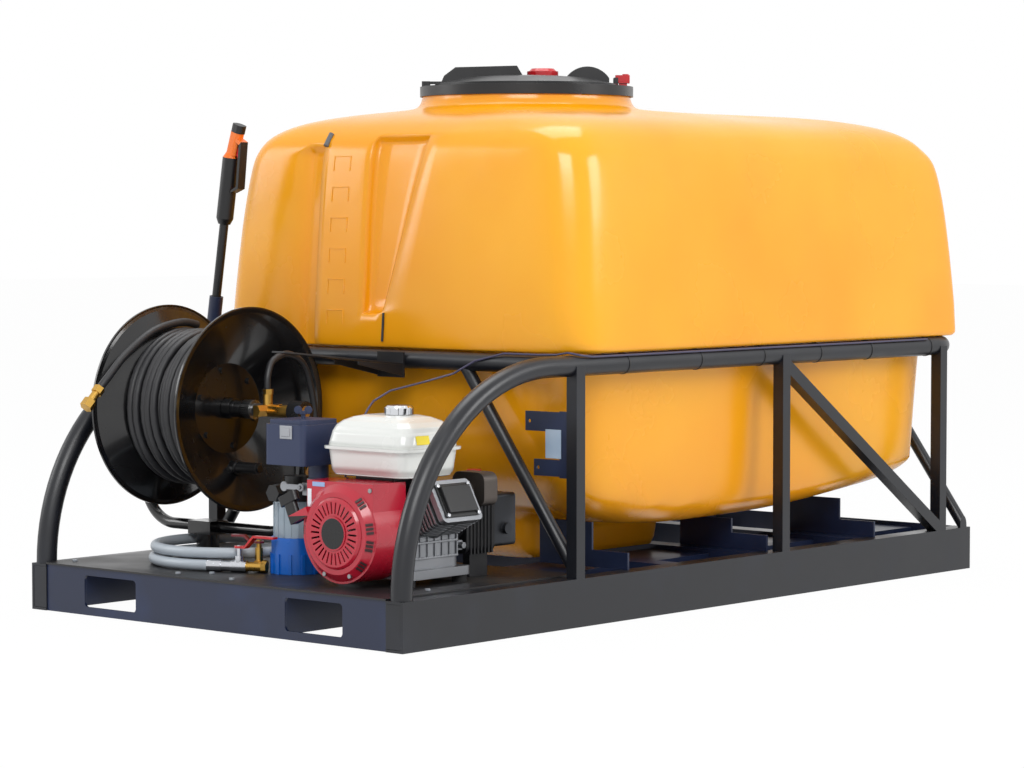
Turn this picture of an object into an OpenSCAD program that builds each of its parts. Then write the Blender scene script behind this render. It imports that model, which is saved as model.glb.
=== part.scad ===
// Skid-mounted petrol pressure washer with a water tank of about 1000 litres.
// Origin at the bottom centre of the skid; -Y is the operator's end, +Z is up.
// All sizes in millimetres.

/* [Skid] */
// outside width of the skid
skid_w = 1200; // [1190:10:1230]
// outside length of the skid
skid_l = 2200; // [2200:10:2260]
// height of the skid's channels
skid_h = 110; // [108:1:118]
// flange width of the channels
flange = 50; // [46:1:50]
// thickness of the skid's plates
plate_t = 6; // [4:1:7]
// width of one fork pocket
pocket_w = 176; // [160:4:180]
// height of the fork pocket's hole in the end plates
pocket_h = 74; // [64:2:76]
// fork pocket centre from the middle of the skid
pocket_x = 330; // [324:2:336]
// thickness of the deck plate
deck_t = 4; // [3:1:5]

/* [Cage] */
// outside diameter of the bent rail
rail_d = 48.3; // [44:0.1:50]
// rail centre above the skid
rail_h = 482; // [478:1:490]
// side of the square posts
post_w = 30; // [26:1:34]
// wall of the rail and post tubes
tube_t = 3.2; // [2:0.2:4]
// outside diameter of the lateral tubes
brace_d = 30; // [26:1:32]

/* [Tank] */
// wall thickness of the moulded tank
tank_t = 8; // [6:1:10]
// depth of the two upright recesses in the tank's front
groove_d = 24; // [10:1:28]
// extra height of the tank above its usual shape
tank_up = 0; // [-20:2:40]
// clear opening of the filling neck
neck_d = 455; // [440:5:465]
// outside diameter of the lid ring
ring_d = 530; // [522:2:536]
// height of the lid's domed part
dome_h = 43; // [36:1:48]

/* [Hose reel] */
// outside diameter of the reel discs
reel_d = 485; // [470:5:492]
// reel axle above the deck
reel_h = 360; // [356:2:370]
// distance between the discs
reel_w = 283; // [277:1:286]
// outside diameter of the wound hose
pack_d = 380; // [360:4:400]
// outside diameter of the pressure hose
hose_d = 19; // [17:1:20]
// drum diameter
drum_d = 190; // [170:5:196]

/* [Water side] */
// outside diameter of the grey feed hose
feed_d = 25; // [22:1:27]
// diameter of the filter bowl
bowl_d = 104; // [98:1:106]
// height of the filter bowl
bowl_h = 83; // [80:1:84]

/* [Engine] */
// crankshaft height above the deck
shaft_h = 123; // [121:1:126]
// diameter of the slotted recoil cover
recoil_d = 158; // [150:2:162]
// number of slots in the recoil cover
recoil_n = 30; // [18:1:32]
// width of the fuel tank
fuel_w = 262; // [240:2:264]

/* [Spray gun] */
// diameter of the lance tube
lance_d = 22; // [16:1:22]
// diameter of the lance grip
grip_d = 42; // [36:1:44]

/* [Hidden] */
$fn = 64;
deck_z = skid_h + deck_t;
rail_z = skid_h + rail_h;
tie_t = 1.3;
rail_x = skid_w / 2 - rail_d / 2 - tie_t - 0.2;
front_y = -skid_l / 2;
rail_front = front_y + rail_d / 2;
rail_rear = skid_l / 2 - 8 - rail_d / 2;
bend_r = rail_h;
corner_r = 110;
post_x = skid_w / 2 - post_w / 2;
post_ys = [-508, 278, 970];
cross_y = -505;
cross_d = 42.4;
sleeve_w = pocket_w + 2 * plate_t;
pocket_top = skid_h - 17;
shoulder_z = rail_z + rail_d / 2 + tie_t + 0.1;
tank_dz = shoulder_z - 616.5;
tank_half = skid_w / 2 - 10;
neck_top = 1236 + tank_dz + tank_up;
reel_y = -759;
reel_z = deck_z + reel_h;
disc_r = -210;
disc_l = disc_r - reel_w;
shaft_x = 347;
shaft_z = deck_z + shaft_h;
fz = shaft_z - 237;
gun_lean = 9.1;
gun_x = 43.35 - rail_x;
gun_y = cross_y - 78;
gun_z = 575 + rail_z - 592;

steel_blue = [0.17, 0.21, 0.3];
dark = [0.1, 0.1, 0.12];
gold = [0.91, 0.62, 0.08];
brass = [0.75, 0.58, 0.25];
alu = [0.6, 0.61, 0.63];
red = [0.8, 0.06, 0.1];

// ---------- shared shapes ----------

// rectangle with round corners, centred
module rounded(w, h, r) {
    square([w - 2 * r, h], center = true);
    square([w, h - 2 * r], center = true);
    for (x = [-1, 1], y = [-1, 1])
        translate([x * (w / 2 - r), y * (h / 2 - r)]) circle(r, $fn = 32);
}

// block with round upright edges, centred in X and Y, standing on z = 0
module block(w, l, h, r) linear_extrude(h) rounded(w, l, r);

module both() {
    children();
    mirror([1, 0, 0]) children();
}

// points on a smooth curve through the given stations
function sub(v, a, b) = [for (i = [a:b]) v[i]];
function spline(p, i, t) =
    let (n = len(p) - 1, a = p[max(i - 1, 0)], b = p[i], c = p[i + 1], d = p[min(i + 2, n)])
    0.5 * ((2 * b) + (c - a) * t + (2 * a - 5 * b + 4 * c - d) * t * t
        + (3 * b - a - 3 * c + d) * t * t * t);
function smooth(p, k) =
    concat([for (i = [0:len(p) - 2], j = [0:k - 1]) spline(p, i, j / k)], [p[len(p) - 1]]);
function unit(v) = v / norm(v);

// closed tube swept along the points, with flat ends
module sweep(p, d, sides = 10) {
    n = len(p);
    tan = [for (i = [0:n - 1]) unit(p[min(i + 1, n - 1)] - p[max(i - 1, 0)])];
    side = carry(tan, unit(cross(tan[0], abs(tan[0][2]) > 0.9 ? [1, 0, 0] : [0, 0, 1])), 0, n);
    pts = [for (i = [0:n - 1], j = [0:sides - 1])
        let (u = side[i], w = cross(tan[i], u), a = 360 * j / sides)
        p[i] + d / 2 * (cos(a) * u + sin(a) * w)];
    faces = concat(
        [[for (j = [0:sides - 1]) sides - 1 - j]],
        [for (i = [0:n - 2], j = [0:sides - 1])
            let (k = (j + 1) % sides, a = i * sides)
            [a + j, a + k, a + sides + k, a + sides + j]],
        [[for (j = [0:sides - 1]) (n - 1) * sides + j]]);
    tri = [for (f = faces) each len(f) == 4 ? [[f[0], f[2], f[1]], [f[0], f[3], f[2]]] : [flip(f)]];
    polyhedron(pts, tri, convexity = 8);
}
function flip(f) = [for (i = [len(f) - 1:-1:0]) f[i]];
// side vectors carried along the path without twisting
function carry(tan, u, i, n) =
    i == n ? [] : let (v = unit(u - (u * tan[i]) * tan[i])) concat([v], carry(tan, v, i + 1, n));

// hexagon head bolt standing on z = 0, across flats s
module bolt(s, h) {
    cylinder(d = s / cos(30), h = h, $fn = 6);
}

// ---------- skid ----------

module side_channels() color(steel_blue) both()
    translate([skid_w / 2 - flange, front_y, 0]) difference() {
        cube([flange, skid_l, skid_h]);
        translate([-1, -1, plate_t]) cube([flange - plate_t + 1, skid_l + 2, skid_h - 2 * plate_t]);
    }

module pocket_hole(y, d)
    both() translate([pocket_x, y, pocket_top - pocket_h / 2]) rotate([90, 0, 0])
        translate([0, 0, -d]) linear_extrude(2 * d) rounded(pocket_w, pocket_h, 10);

module cross_plates() color(steel_blue) {
    w = skid_w - 2 * flange;
    // end plates, standing between the channels
    for (y = [front_y + 4, -front_y - 4 - plate_t]) difference() {
        translate([-w / 2, y, 0]) cube([w, plate_t, skid_h]);
        pocket_hole(y, 30);
    }
    // inner cross members with a flange on top, notched for the fork sleeves
    for (y = [-520, -150, 200, 640]) difference() {
        union() {
            translate([-w / 2, y, 0]) cube([w, plate_t, skid_h]);
            translate([-w / 2, y, skid_h - plate_t]) cube([w, 60, plate_t]);
        }
        both() translate([pocket_x - sleeve_w / 2, y - 1, -1])
            cube([sleeve_w, 62, pocket_top + plate_t + 1]);
    }
}

module fork_sleeves() color(steel_blue) both() {
    y = front_y + 4 + plate_t;
    l = skid_l - 8 - 2 * plate_t;
    translate([pocket_x - sleeve_w / 2, y, 10]) cube([plate_t, l, pocket_top - 10]);
    translate([pocket_x + pocket_w / 2, y, 22]) cube([plate_t, l, pocket_top - 22]);
    translate([pocket_x - sleeve_w / 2, y, pocket_top]) cube([sleeve_w, l, plate_t]);
}

module deck_plate() color(dark) difference() {
    translate([-(skid_w / 2 - flange), front_y, skid_h])
        cube([skid_w - 2 * flange, 640, deck_t]);
    // drain slots
    for (x = [-120, 120], y = [-640, -560]) translate([x, y, skid_h - 1])
        linear_extrude(deck_t + 2) rounded(60, 12, 5.9);
}

// ---------- cage ----------

module rail_run(d) {
    both() {
        translate([rail_x, rail_front + bend_r, skid_h]) rotate([90, 0, 90]) rotate([0, 0, 90])
            rotate_extrude(angle = 90, $fn = 96) translate([bend_r, 0]) circle(d = d, $fn = 48);
        translate([rail_x, rail_front + bend_r, rail_z]) rotate([-90, 0, 0])
            cylinder(d = d, h = rail_rear - corner_r - rail_front - bend_r, $fn = 48);
        translate([rail_x - corner_r, rail_rear - corner_r, rail_z])
            rotate_extrude(angle = 90, $fn = 96) translate([corner_r, 0]) circle(d = d, $fn = 48);
    }
    translate([-(rail_x - corner_r), rail_rear, rail_z]) rotate([0, 90, 0])
        cylinder(d = d, h = 2 * (rail_x - corner_r), $fn = 48);
}

module top_rail() color(steel_blue) difference() {
    rail_run(rail_d);
    rail_run(rail_d - 2 * tube_t);
}

// clearance cut along the straight side rails
module rail_cut() both() translate([rail_x, -700, rail_z]) rotate([-90, 0, 0])
    cylinder(d = rail_d + 0.1, h = 1800);

module cross_tube() color(steel_blue) difference() {
    translate([-rail_x, cross_y, rail_z]) rotate([0, 90, 0])
        cylinder(d = cross_d, h = 2 * rail_x);
    translate([-rail_x - 1, cross_y, rail_z]) rotate([0, 90, 0])
        cylinder(d = cross_d - 2 * tube_t, h = 2 * rail_x + 2);
    rail_cut();
}

module posts() color(steel_blue) difference() {
    both() for (y = post_ys) translate([post_x, y, skid_h]) difference() {
        translate([-post_w / 2, -post_w / 2, 0]) cube([post_w, post_w, rail_h]);
        translate([-post_w / 2 + tube_t, -post_w / 2 + tube_t, -1])
            cube([post_w - 2 * tube_t, post_w - 2 * tube_t, rail_h + 2]);
    }
    rail_cut();
    translate([-skid_w / 2 - 1, -1000, rail_z]) cube([skid_w + 2, 2200, 100]);
}

module side_braces() color(steel_blue) difference() {
    a = atan2(430, 645);
    both() intersection() {
        translate([post_x, 311, skid_h + 438]) rotate([-a, 0, 0])
            translate([-post_w / 2, -100, -post_w / 2]) cube([post_w, 1000, post_w]);
        translate([post_x - post_w, post_ys[1] + post_w / 2, skid_h])
            cube([2 * post_w, post_ys[2] - post_ys[1] - post_w, rail_h]);
    }
    rail_cut();
}

module slant(x0, y, x1) intersection() {
    translate([x0, y, rail_z - 24]) rotate([0, 180 - atan2(293, 402), 0])
        translate([0, 0, -80]) cylinder(d = brace_d, h = 760, $fn = 48);
    translate([0, y - 40, skid_h]) cube([x1, 80, rail_h]);
}

module lateral_braces() color(steel_blue) difference() {
    both() {
        slant(258, cross_y, post_x - post_w / 2);
        slant(270, rail_rear, skid_w / 2);
    }
    translate([-skid_w, cross_y, rail_z]) rotate([0, 90, 0])
        cylinder(d = cross_d + 0.1, h = 2 * skid_w);
    translate([-skid_w, rail_rear, rail_z]) rotate([0, 90, 0])
        cylinder(d = rail_d + 0.1, h = 2 * skid_w);
}

// upright plates under the tank's belly, standing on angle feet
module tank_saddles() color(steel_blue) both() for (s = saddle_rows)
    translate([300, s[0], skid_h]) {
        cube([skid_w / 2 - 332, plate_t, 40]);
        cube([160, plate_t, s[1] + tank_dz - skid_h]);
        translate([0, plate_t, 0]) cube([160, 34, plate_t]);
    }
saddle_rows = [[-300, 214], [240, 184], [700, 203]];

module valve_bracket() color(steel_blue)
    translate([post_x - post_w / 2, cross_y - 6, skid_h]) difference() {
        rotate([90, 0, 0]) linear_extrude(4) {
            translate([-28, 226]) square([28, 152]);
            translate([-130, 331]) square([103, 45]);
            translate([-104, 229]) square([77, 38]);
        }
        for (p = [[-118, 353], [-92, 248]]) translate([p[0], 1, p[1]]) rotate([90, 0, 0])
            cylinder(d = 9, h = 6, $fn = 24);
    }

// folded arm that carries the spray tools over the machine deck
module tool_arm() color(dark) translate([32, cross_y - cross_d / 2, rail_z - 42]) {
    rotate([0, 0, 180]) {
        translate([-42, 0, 0]) cube([84, 6, 60]);
        translate([-42, 6, 30]) rotate([6, 0, 0])
            linear_extrude(4) polygon([[0, -0.5], [84, -0.5], [62, 375], [22, 375]]);
        for (x = [-41, 37]) translate([x, 6, 4]) rotate([90, 0, 90]) linear_extrude(4)
            polygon([[0, 0], [0, 26], [150, 40], [150, 32]]);
    }
}

cable_path = [[180, -745, 508], [190, -700, 530], [215, -610, 548], [255, -556, 566],
    [300, -532, 596], [380, -520, 615], [480, -520, 615], [545, -528, 617], [574, -524, 622],
    [590, -500, 616.5], [594.2, -460, 611.8], [594.2, -100, 611.8], [594.2, 400, 611.8],
    [594.2, 900, 611.8]];
module rail_cable() color([0.35, 0.3, 0.5])
    translate([0, 0, rail_z - 592]) sweep(smooth(cable_path, 1), 5, 8);

module cable_ties() color(dark) both() for (y = [-332, -58, 191, 426, 645, 915])
    translate([rail_x, y, rail_z]) rotate([-90, 0, 0]) difference() {
        cylinder(d = rail_d + 2 * tie_t, h = 5, $fn = 48);
        translate([0, 0, -1]) cylinder(d = rail_d + 0.2, h = 7, $fn = 48);
    }

// ---------- tank: one rotational moulding, lofted ring by ring ----------

belly = [[-460, 430], [-420, 335], [-390, 288], [-336, 240], [-247, 211], [-157, 195],
    [-15, 187], [323, 190], [601, 198], [770, 217], [944, 252], [986, 268], [1006, 310], [1018, 400]];

// one ring of the outline: half width, front, rear, front and rear corner radii,
// groove depths and the right edge of the wide groove
function arc(cx, cy, r, a0) = [for (i = [0:5]) [cx + r * cos(a0 + i * 18), cy + r * sin(a0 + i * 18)]];
side_steps = [0.11, 0.22, 0.34, 0.47, 0.66];
function outline(half, yf, yr, rf, rr, ga, gb, bx) =
    let (hw = half + tank_half - 590, s = min(1, (hw - rf) / 430))
    concat(
        [for (g = [[-335, 0], [-304, 0.7], [-296, 1], [-254, 1], [-248, 0], [-150, 0]])
            [g[0] * s, yf + g[1] * ga]],
        [for (g = [[-90, 0], [-80, 1], [bx, 1], [bx + 10, 0], [250, 0], [360, 0]])
            [g[0] * s, yf + g[1] * gb]],
        arc(hw - rf, yf + rf, rf, -90),
        [for (t = side_steps) [hw, yf + rf + t * (yr - rr - yf - rf)]],
        arc(hw - rr, yr - rr, rr, 0),
        [[0, yr]],
        arc(-hw + rr, yr - rr, rr, 90),
        [for (t = flip(side_steps)) [-hw, yf + rf + t * (yr - rr - yf - rf)]],
        arc(-hw + rf, yf + rf, rf, 180));
function round_side(x) = let (a = max(abs(x) - 430, 0)) 90 - sqrt(max(8100 - a * a, 0));
function level(o, z) = [for (p = o) [p[0], p[1], z]];
function bellied(o, up) =
    [for (p = o) [p[0], p[1], tank_dz + up + lookup(p[1], belly) + round_side(p[0])]];
function circle_ring(o, r, z) =
    [for (p = o) let (n = norm([p[0], p[1]])) [p[0] * r / n, p[1] * r / n, z]];

// rings from the foot up to the neck; t is how far inside the outer skin they lie
function skin(t) = let (b = tank_dz, u = tank_dz + tank_up, top = outline(330 - t, -300 + t, 800 - t, 180, 180, 0, 0, 60)) [
    level(outline(250 - t, -280 + t, 228 - t, 50, 50, 0, 0, 60), skid_h + 0.5 + t),
    bellied(outline(262 - t, -300 + t, 236 - t, 55, 55, 0, 0, 60), t - 2),
    bellied(outline(340 - t, -325 + t, 520 - t, 90, 90, 0, 0, 60), t),
    bellied(outline(420 - t, -340 + t, 900 - t, 110, 100, 0, 0, 60), t),
    bellied(outline(470 - t, -385 + t, 975 - t, 125, 110, 0, 0, 60), t),
    bellied(outline(500 - t, -420 + t, 1002 - t, 135, 110, 0, 0, 60), t),
    bellied(outline(515 - t, -445 + t, 1012 - t, 140, 100, 0, 0, 60), t),
    level(outline(520 - t, -455 + t, 1018 - t, 140, 90, 0, 0, 60), b + 470),
    level(outline(525 - t, -456 + t, 1024 - t, 140, 80, 0, 0, 60), b + 602 + t),
    level(outline(535 - t, -464 + t, 1034 - t, 120, 70, 0, 0, 60), b + 616.5 + t),
    level(outline(584 - t, -499 + t, 1074 - t, 95, 57, groove_d - 6, 0, -38), b + 616.5 + t),
    level(outline(590 - t, -505 + t, 1080 - t, 96, 57, groove_d, 0, -38), b + 625 + t / 2),
    level(outline(587 - t, -502 + t, 1078 - t, 96, 57, groove_d, 0, -36), b + 695),
    level(outline(587 - t, -502 + t, 1078 - t, 96, 57, groove_d, groove_d, -34), b + 701),
    level(outline(577 - t, -494 + t, 1070 - t, 97, 57, groove_d, groove_d, 4), b + 830),
    level(outline(565 - t, -485 + t, 1061 - t, 98, 58, groove_d, groove_d, 38), u + 952),
    level(outline(548 - t, -475 + t, 1050 - t, 98, 60, groove_d, groove_d, 66), u + 1052),
    level(outline(538 - t, -470 + t, 1036 - t, 98, 62, groove_d, groove_d, 74), u + 1080),
    level(outline(525 - t, -463 + t, 1016 - t, 100, 66, 0, groove_d, 80), u + 1103),
    level(outline(512 - t, -452 + t, 1002 - t, 104, 75, 0, 0, 84), u + 1122),
    level(outline(490 - t, -432 + t, 980 - t, 115, 90, 0, 0, 84), u + 1141 - t / 3),
    level(outline(456 - t, -404 + t, 945 - t, 135, 110, 0, 0, 84), u + 1159 - t / 2),
    level(outline(395 - t, -352 + t, 880 - t, 160, 150, 0, 0, 84), u + 1175 - t),
    level(top, u + 1184 - t),
    circle_ring(top, 286 - t, u + 1191 - t),
    circle_ring(top, 270 - t, u + 1198 - t / 2),
    circle_ring(top, 261 - t, u + 1214)];

module tank_body() color(gold) {
    outer = skin(0);
    inner = skin(tank_t);
    n = len(outer[0]);
    top = outer[23];
    // the inner skin leaves out the rings that only shape the outside
    rings = concat(outer,
        [circle_ring(top, 259, neck_top), circle_ring(top, neck_d / 2, neck_top),
         circle_ring(top, neck_d / 2, neck_top - 30)],
        [for (k = [25:-1:0]) if (k != 5 && k != 14 && k != 21) inner[k]]);
    m = len(rings);
    ends = [mid(rings[0]), mid(rings[m - 1])];
    pts = concat([for (r = rings) each r], ends);
    faces = concat(
        [for (i = [0:n - 1]) [i, (i + 1) % n, m * n]],
        [for (k = [0:m - 2], i = [0:n - 1]) let (j = (i + 1) % n, a = k * n)
            each [[a + i, a + n + i, a + n + j], [a + i, a + n + j, a + j]]],
        [for (i = [0:n - 1]) [(m - 1) * n + (i + 1) % n, (m - 1) * n + i, m * n + 1]]);
    polyhedron(pts, faces, convexity = 10);
}
function mid(r) = [0, (r[3][1] + r[24][1]) / 2, r[0][2]];

lid_turn = 41;
ring_z = neck_top;
lid_z = ring_z + 13;

module lid_ring() color(dark) translate([0, 0, ring_z]) rotate([0, 0, lid_turn]) {
    difference() {
        cylinder(d = ring_d, h = 13, $fn = 96);
        translate([0, 0, -1]) cylinder(d = neck_d, h = 15, $fn = 96);
    }
    difference() {
        translate([0, 0, -12]) cylinder(d = ring_d, h = 12, $fn = 96);
        translate([0, 0, -13]) cylinder(d = 522, h = 14, $fn = 96);
    }
    // hinge ears
    for (y = [-26, 14]) translate([-250, y, 13]) difference() {
        translate([-10, 0, -1]) cube([20, 12, 15]);
        translate([0, -1, 8]) rotate([-90, 0, 0]) cylinder(d = 6.2, h = 14, $fn = 24);
    }
}

module tank_lid() color(dark) translate([0, 0, lid_z]) rotate([0, 0, lid_turn]) {
    d = neck_d + 1;
    rotate_extrude($fn = 96) polygon([[0, 0], [d / 2, 0], [d / 2, 7], [d / 2 - 14, 9],
        [150, 22], [90, dome_h - 16], [0, dome_h - 16]]);
    // the two raised lobes
    translate([0, 62, 0]) rotate([90, 0, 0]) linear_extrude(124)
        polygon([[-212, 8], [-204, 26], [-176, dome_h + 4], [-24, dome_h + 8], [-8, 24], [-8, 8]]);
    intersection() {
        translate([150, 58, -16]) rotate([90, 0, 0]) cylinder(r = dome_h + 22, h = 116, $fn = 96);
        translate([88, -58, 10]) cube([116, 116, 80]);
    }
    // hinge knuckle and its pin
    translate([-250, 0, 8]) rotate([90, 0, 0]) {
        translate([0, 0, -13.5]) cylinder(d = 13, h = 27, $fn = 32);
        translate([0, 0, -26]) cylinder(d = 6, h = 52, $fn = 24);
    }
    translate([-250, -13.5, 8]) cube([40, 27, 6]);
    // lugs and pin of the latch
    for (y = [-23, 18]) translate([216, y, 7]) cube([11, 5, 16]);
    translate([222, 0, 18]) rotate([90, 0, 0]) translate([0, 0, -22]) cylinder(d = 6, h = 44, $fn = 24);
}

module lid_vent() color(red) translate([0, 0, lid_z + dome_h - 16]) rotate([0, 0, lid_turn])
    translate([40, 0, 0]) {
        cylinder(d = 78, h = 12, $fn = 48);
        translate([0, 0, 12]) cylinder(d1 = 70, d2 = 56, h = 7, $fn = 48);
    }

// flip latch on two lugs of the lid; its tongue rests just above the ring
module lid_latch() color(red) translate([0, 0, lid_z]) rotate([0, 0, lid_turn]) difference() {
    union() {
        translate([220.5, -17, 9.4]) cube([35.5, 34, 20]);
        translate([229.5, -13, 1]) cube([20, 26, 9]);
        translate([246, 0, 29.4]) cylinder(d = 16, h = 3, $fn = 32);
    }
    translate([222, 0, 18]) rotate([90, 0, 0]) translate([0, 0, -20]) cylinder(d = 6.1, h = 40, $fn = 24);
}

// outlet on the sloping front face of the foot, with its valve body and pipe stub
outlet_x = -150;
outlet_tilt = 9.7;
module tank_outlet() color(dark) translate([outlet_x, -286.6, skid_h + 38]) rotate([90 + outlet_tilt, 0, 0]) {
    cylinder(d = 60, h = 10, $fn = 48);
    translate([0, 0, 10]) bolt(44, 14);
    translate([0, 0, 24]) cylinder(d = 30, h = 26, $fn = 32);
}

// ---------- hose reel ----------

module reel_axis(x) translate([x, reel_y, reel_z]) rotate([0, 90, 0]) children();

// U-shaped bent tube on a pedestal, with the two axle bearings
stand_l = -572;
stand_r = -44;
stand_d = 27;
module stand_tube(d) {
    zb = deck_z + 74;
    r = 100;
    for (s = [[stand_l, 1], [stand_r, -1]]) {
        translate([s[0] + s[1] * r, reel_y, zb + r]) rotate([90, 0, 0])
            rotate([0, 0, s[1] > 0 ? 180 : 270]) rotate_extrude(angle = 90, $fn = 64)
            translate([r, 0]) circle(d = d, $fn = 32);
        translate([s[0], reel_y, zb + r]) cylinder(d = d, h = reel_z - zb - r, $fn = 32);
    }
    translate([stand_l + r, reel_y, zb]) rotate([0, 90, 0])
        cylinder(d = d, h = stand_r - stand_l - 2 * r, $fn = 32);
}
module reel_stand() color(dark) {
    difference() {
        union() {
            stand_tube(stand_d);
            for (x = [stand_l, stand_r]) reel_axis(x) translate([0, 0, -20])
                cylinder(d = 52, h = 40, $fn = 48);
            translate([-355, reel_y, deck_z]) cylinder(d = 56, h = 70, $fn = 48);
        }
        reel_axis(stand_l) translate([0, 0, -21]) cylinder(d = 30.1, h = 42, $fn = 48);
        reel_axis(stand_r) translate([0, 0, -21]) cylinder(d = 30.1, h = 42, $fn = 48);
    }
    // clamp block between pedestal and tube
    translate([-355, reel_y, deck_z + 56]) difference() {
        translate([-38, -30, 0]) cube([76, 60, 32]);
        translate([-60, 0, 18]) rotate([0, 90, 0]) cylinder(d = stand_d, h = 120, $fn = 32);
        translate([0, 0, -1]) cylinder(d = 56, h = 15, $fn = 48);
    }
    // round foot flange
    translate([-355, reel_y, deck_z]) difference() {
        cylinder(d = 72, h = 8, $fn = 64);
        translate([0, 0, -1]) cylinder(d = 56, h = 10, $fn = 48);
    }
}

// deep dished disc: a flat middle, a cone and a rolled rim, open away from the hose
dish = 78;
module reel_disc() {
    r = reel_d / 2;
    rotate_extrude($fn = 96) polygon([[26, -dish], [108, -dish], [r - 12, -3], [r - 5, -1],
        [r - 3, -3], [r, -2.5], [r, 2.5], [r - 3, 3], [r - 8, 2], [r - 14, 0.5],
        [107, 3.2 - dish], [26, 3.2 - dish]]);
    for (a = [0:60:300]) rotate([0, 0, a + 12]) translate([92, 0, 3 - dish]) bolt(13, 6);
}
module reel_disc_left() color(dark) reel_axis(disc_l) mirror([0, 0, 1]) reel_disc();
// the right disc carries the crank's boss and stud on its cone
crank_r = 140;
module reel_disc_right() color(dark) reel_axis(disc_r) {
    reel_disc();
    difference() {
        translate([crank_r, 0, -66]) cylinder(d = 30, h = 66 - 43.3, $fn = 48);
        rotate_extrude($fn = 96) polygon([[0, -100], [0, -dish], [108, -dish],
            [reel_d / 2 - 12, -3], [reel_d / 2 - 12, -100]]);
    }
    translate([crank_r, 0, -50]) cylinder(d = 9.9, h = 80, $fn = 32);
    translate([crank_r, 0, 30]) cylinder(d = 18, h = 4, $fn = 32);
}

hub_l = disc_l + dish;
hub_r = disc_r - dish;
module reel_drum() color(dark) {
    reel_axis(hub_l + 0.1) difference() {
        cylinder(d = drum_d, h = hub_r - hub_l - 0.2, $fn = 96);
        translate([0, 0, 4]) cylinder(d = drum_d - 8, h = hub_r - hub_l - 8.2, $fn = 96);
        translate([0, 0, -1]) cylinder(d = 30, h = reel_w, $fn = 48);
    }
    reel_axis(stand_l - 26) cylinder(d = 30, h = hub_r + 30 - stand_l + 26, $fn = 48);
    // bosses that clamp the discs
    reel_axis(hub_r + 3.4) difference() {
        cylinder(d = 50, h = 26, $fn = 48);
        translate([0, 0, -1]) cylinder(d = 29.9, h = 28, $fn = 48);
    }
    reel_axis(hub_l - 29.4) difference() {
        cylinder(d = 50, h = 26, $fn = 48);
        translate([0, 0, -1]) cylinder(d = 29.9, h = 28, $fn = 48);
    }
}

module crank_grip() color(dark) reel_axis(disc_r - 43) translate([crank_r, 0, 0]) difference() {
    union() {
        cylinder(d = 28, h = 72.7, $fn = 48);
        cylinder(d = 34, h = 5, $fn = 48);
    }
    translate([0, 0, -1]) cylinder(d = 10, h = 80, $fn = 32);
}

// fixed swivel on the axle's end, with its elbow; a shaft holds it in the right bearing
module reel_swivel() color(brass) {
    reel_axis(hub_r + 30.2) {
        for (i = [0:3]) translate([0, 0, i * 9]) cylinder(d = i % 2 == 0 ? 42 : 38, h = 9, $fn = 48);
        translate([0, 0, 36]) cylinder(d = 46, h = 30, $fn = 48);
        translate([0, 0, 66]) cylinder(d = 29.9, h = stand_r - hub_r - 30.2 - 66 + 19, $fn = 48);
    }
    translate([elbow_x, reel_y, reel_z]) {
        translate([0, 0, 10]) cylinder(d = 24, h = 30, $fn = 32);
        rotate([-90, 0, 0]) translate([0, 0, -40]) bolt(26, 80);
        translate([0, 0, 38]) bolt(24, 12);
    }
}
elbow_x = -150;

// wound hose between the two cones
module hose_pack() color([0.15, 0.15, 0.17]) reel_axis(disc_l) {
    r0 = drum_d / 2 + 0.4;
    r1 = pack_d / 2;
    k = dish / (reel_d / 2 - 12 - 108);
    inset = (reel_d / 2 - 12 - r1) * k + 9;
    w = reel_w - 2 * inset;
    n = 8;
    p = w / n;
    rotate_extrude($fn = 72) polygon(concat([[r0, dish + 2], [108, dish + 2]],
        [for (i = [0:n - 1], j = [0:4])
            let (a = 162 - j * 36)
            [r1 - hose_d / 2 + hose_d / 2 * sin(a) + (i % 2 == 0 ? 0 : -4),
             inset + i * p + p / 2 + p / 2 * cos(a)]],
        [[108, reel_w - dish - 2], [r0, reel_w - dish - 2]]));
}

tail_path = [[-445, -705, 667.2], [-445, -760, 674.7], [-445, -850, 656], [-443, -940, 603],
    [-438, -1000, 552], [-440, -1024, 528]];
module hose_tail() color([0.15, 0.15, 0.17])
    translate([0, 0, reel_z - 474 + (pack_d - 380) / 2 + (hose_d - 19) / 2])
        sweep(smooth(tail_path, 2), hose_d);

module hose_fitting() color(brass)
    translate([-440, -1024, 528 + reel_z - 474 + (pack_d - 380) / 2 + (hose_d - 19) / 2])
        rotate([135, 0, 0]) {
            translate([0, 0, 0.7]) bolt(24, 17.3);
            translate([0, 0, 18]) cylinder(d = 20, h = 24, $fn = 32);
            translate([0, 0, 42]) bolt(28, 22);
        }

feed_path = [[-150, -759, 524.3], [-151, -757, 556], [-156, -735, 590], [-160, -680, 604], [-162, -626, 575],
    [-160, -600, 505], [-150, -594, 420], [-125, -596, 330], [-90, -606, 240], [-45, -622, 175],
    [20, -632, 146], [90, -632, 138], [150, -626, 144], [205, -604, 176], [236, -588, 214],
    [250, -584, 227], [263.7, -584, 227]];
module feed_hose() color([0.15, 0.15, 0.17])
    translate([0, 0, reel_z - 474]) sweep(feed_path, 16, 8);

// ---------- filter and valves ----------

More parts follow.
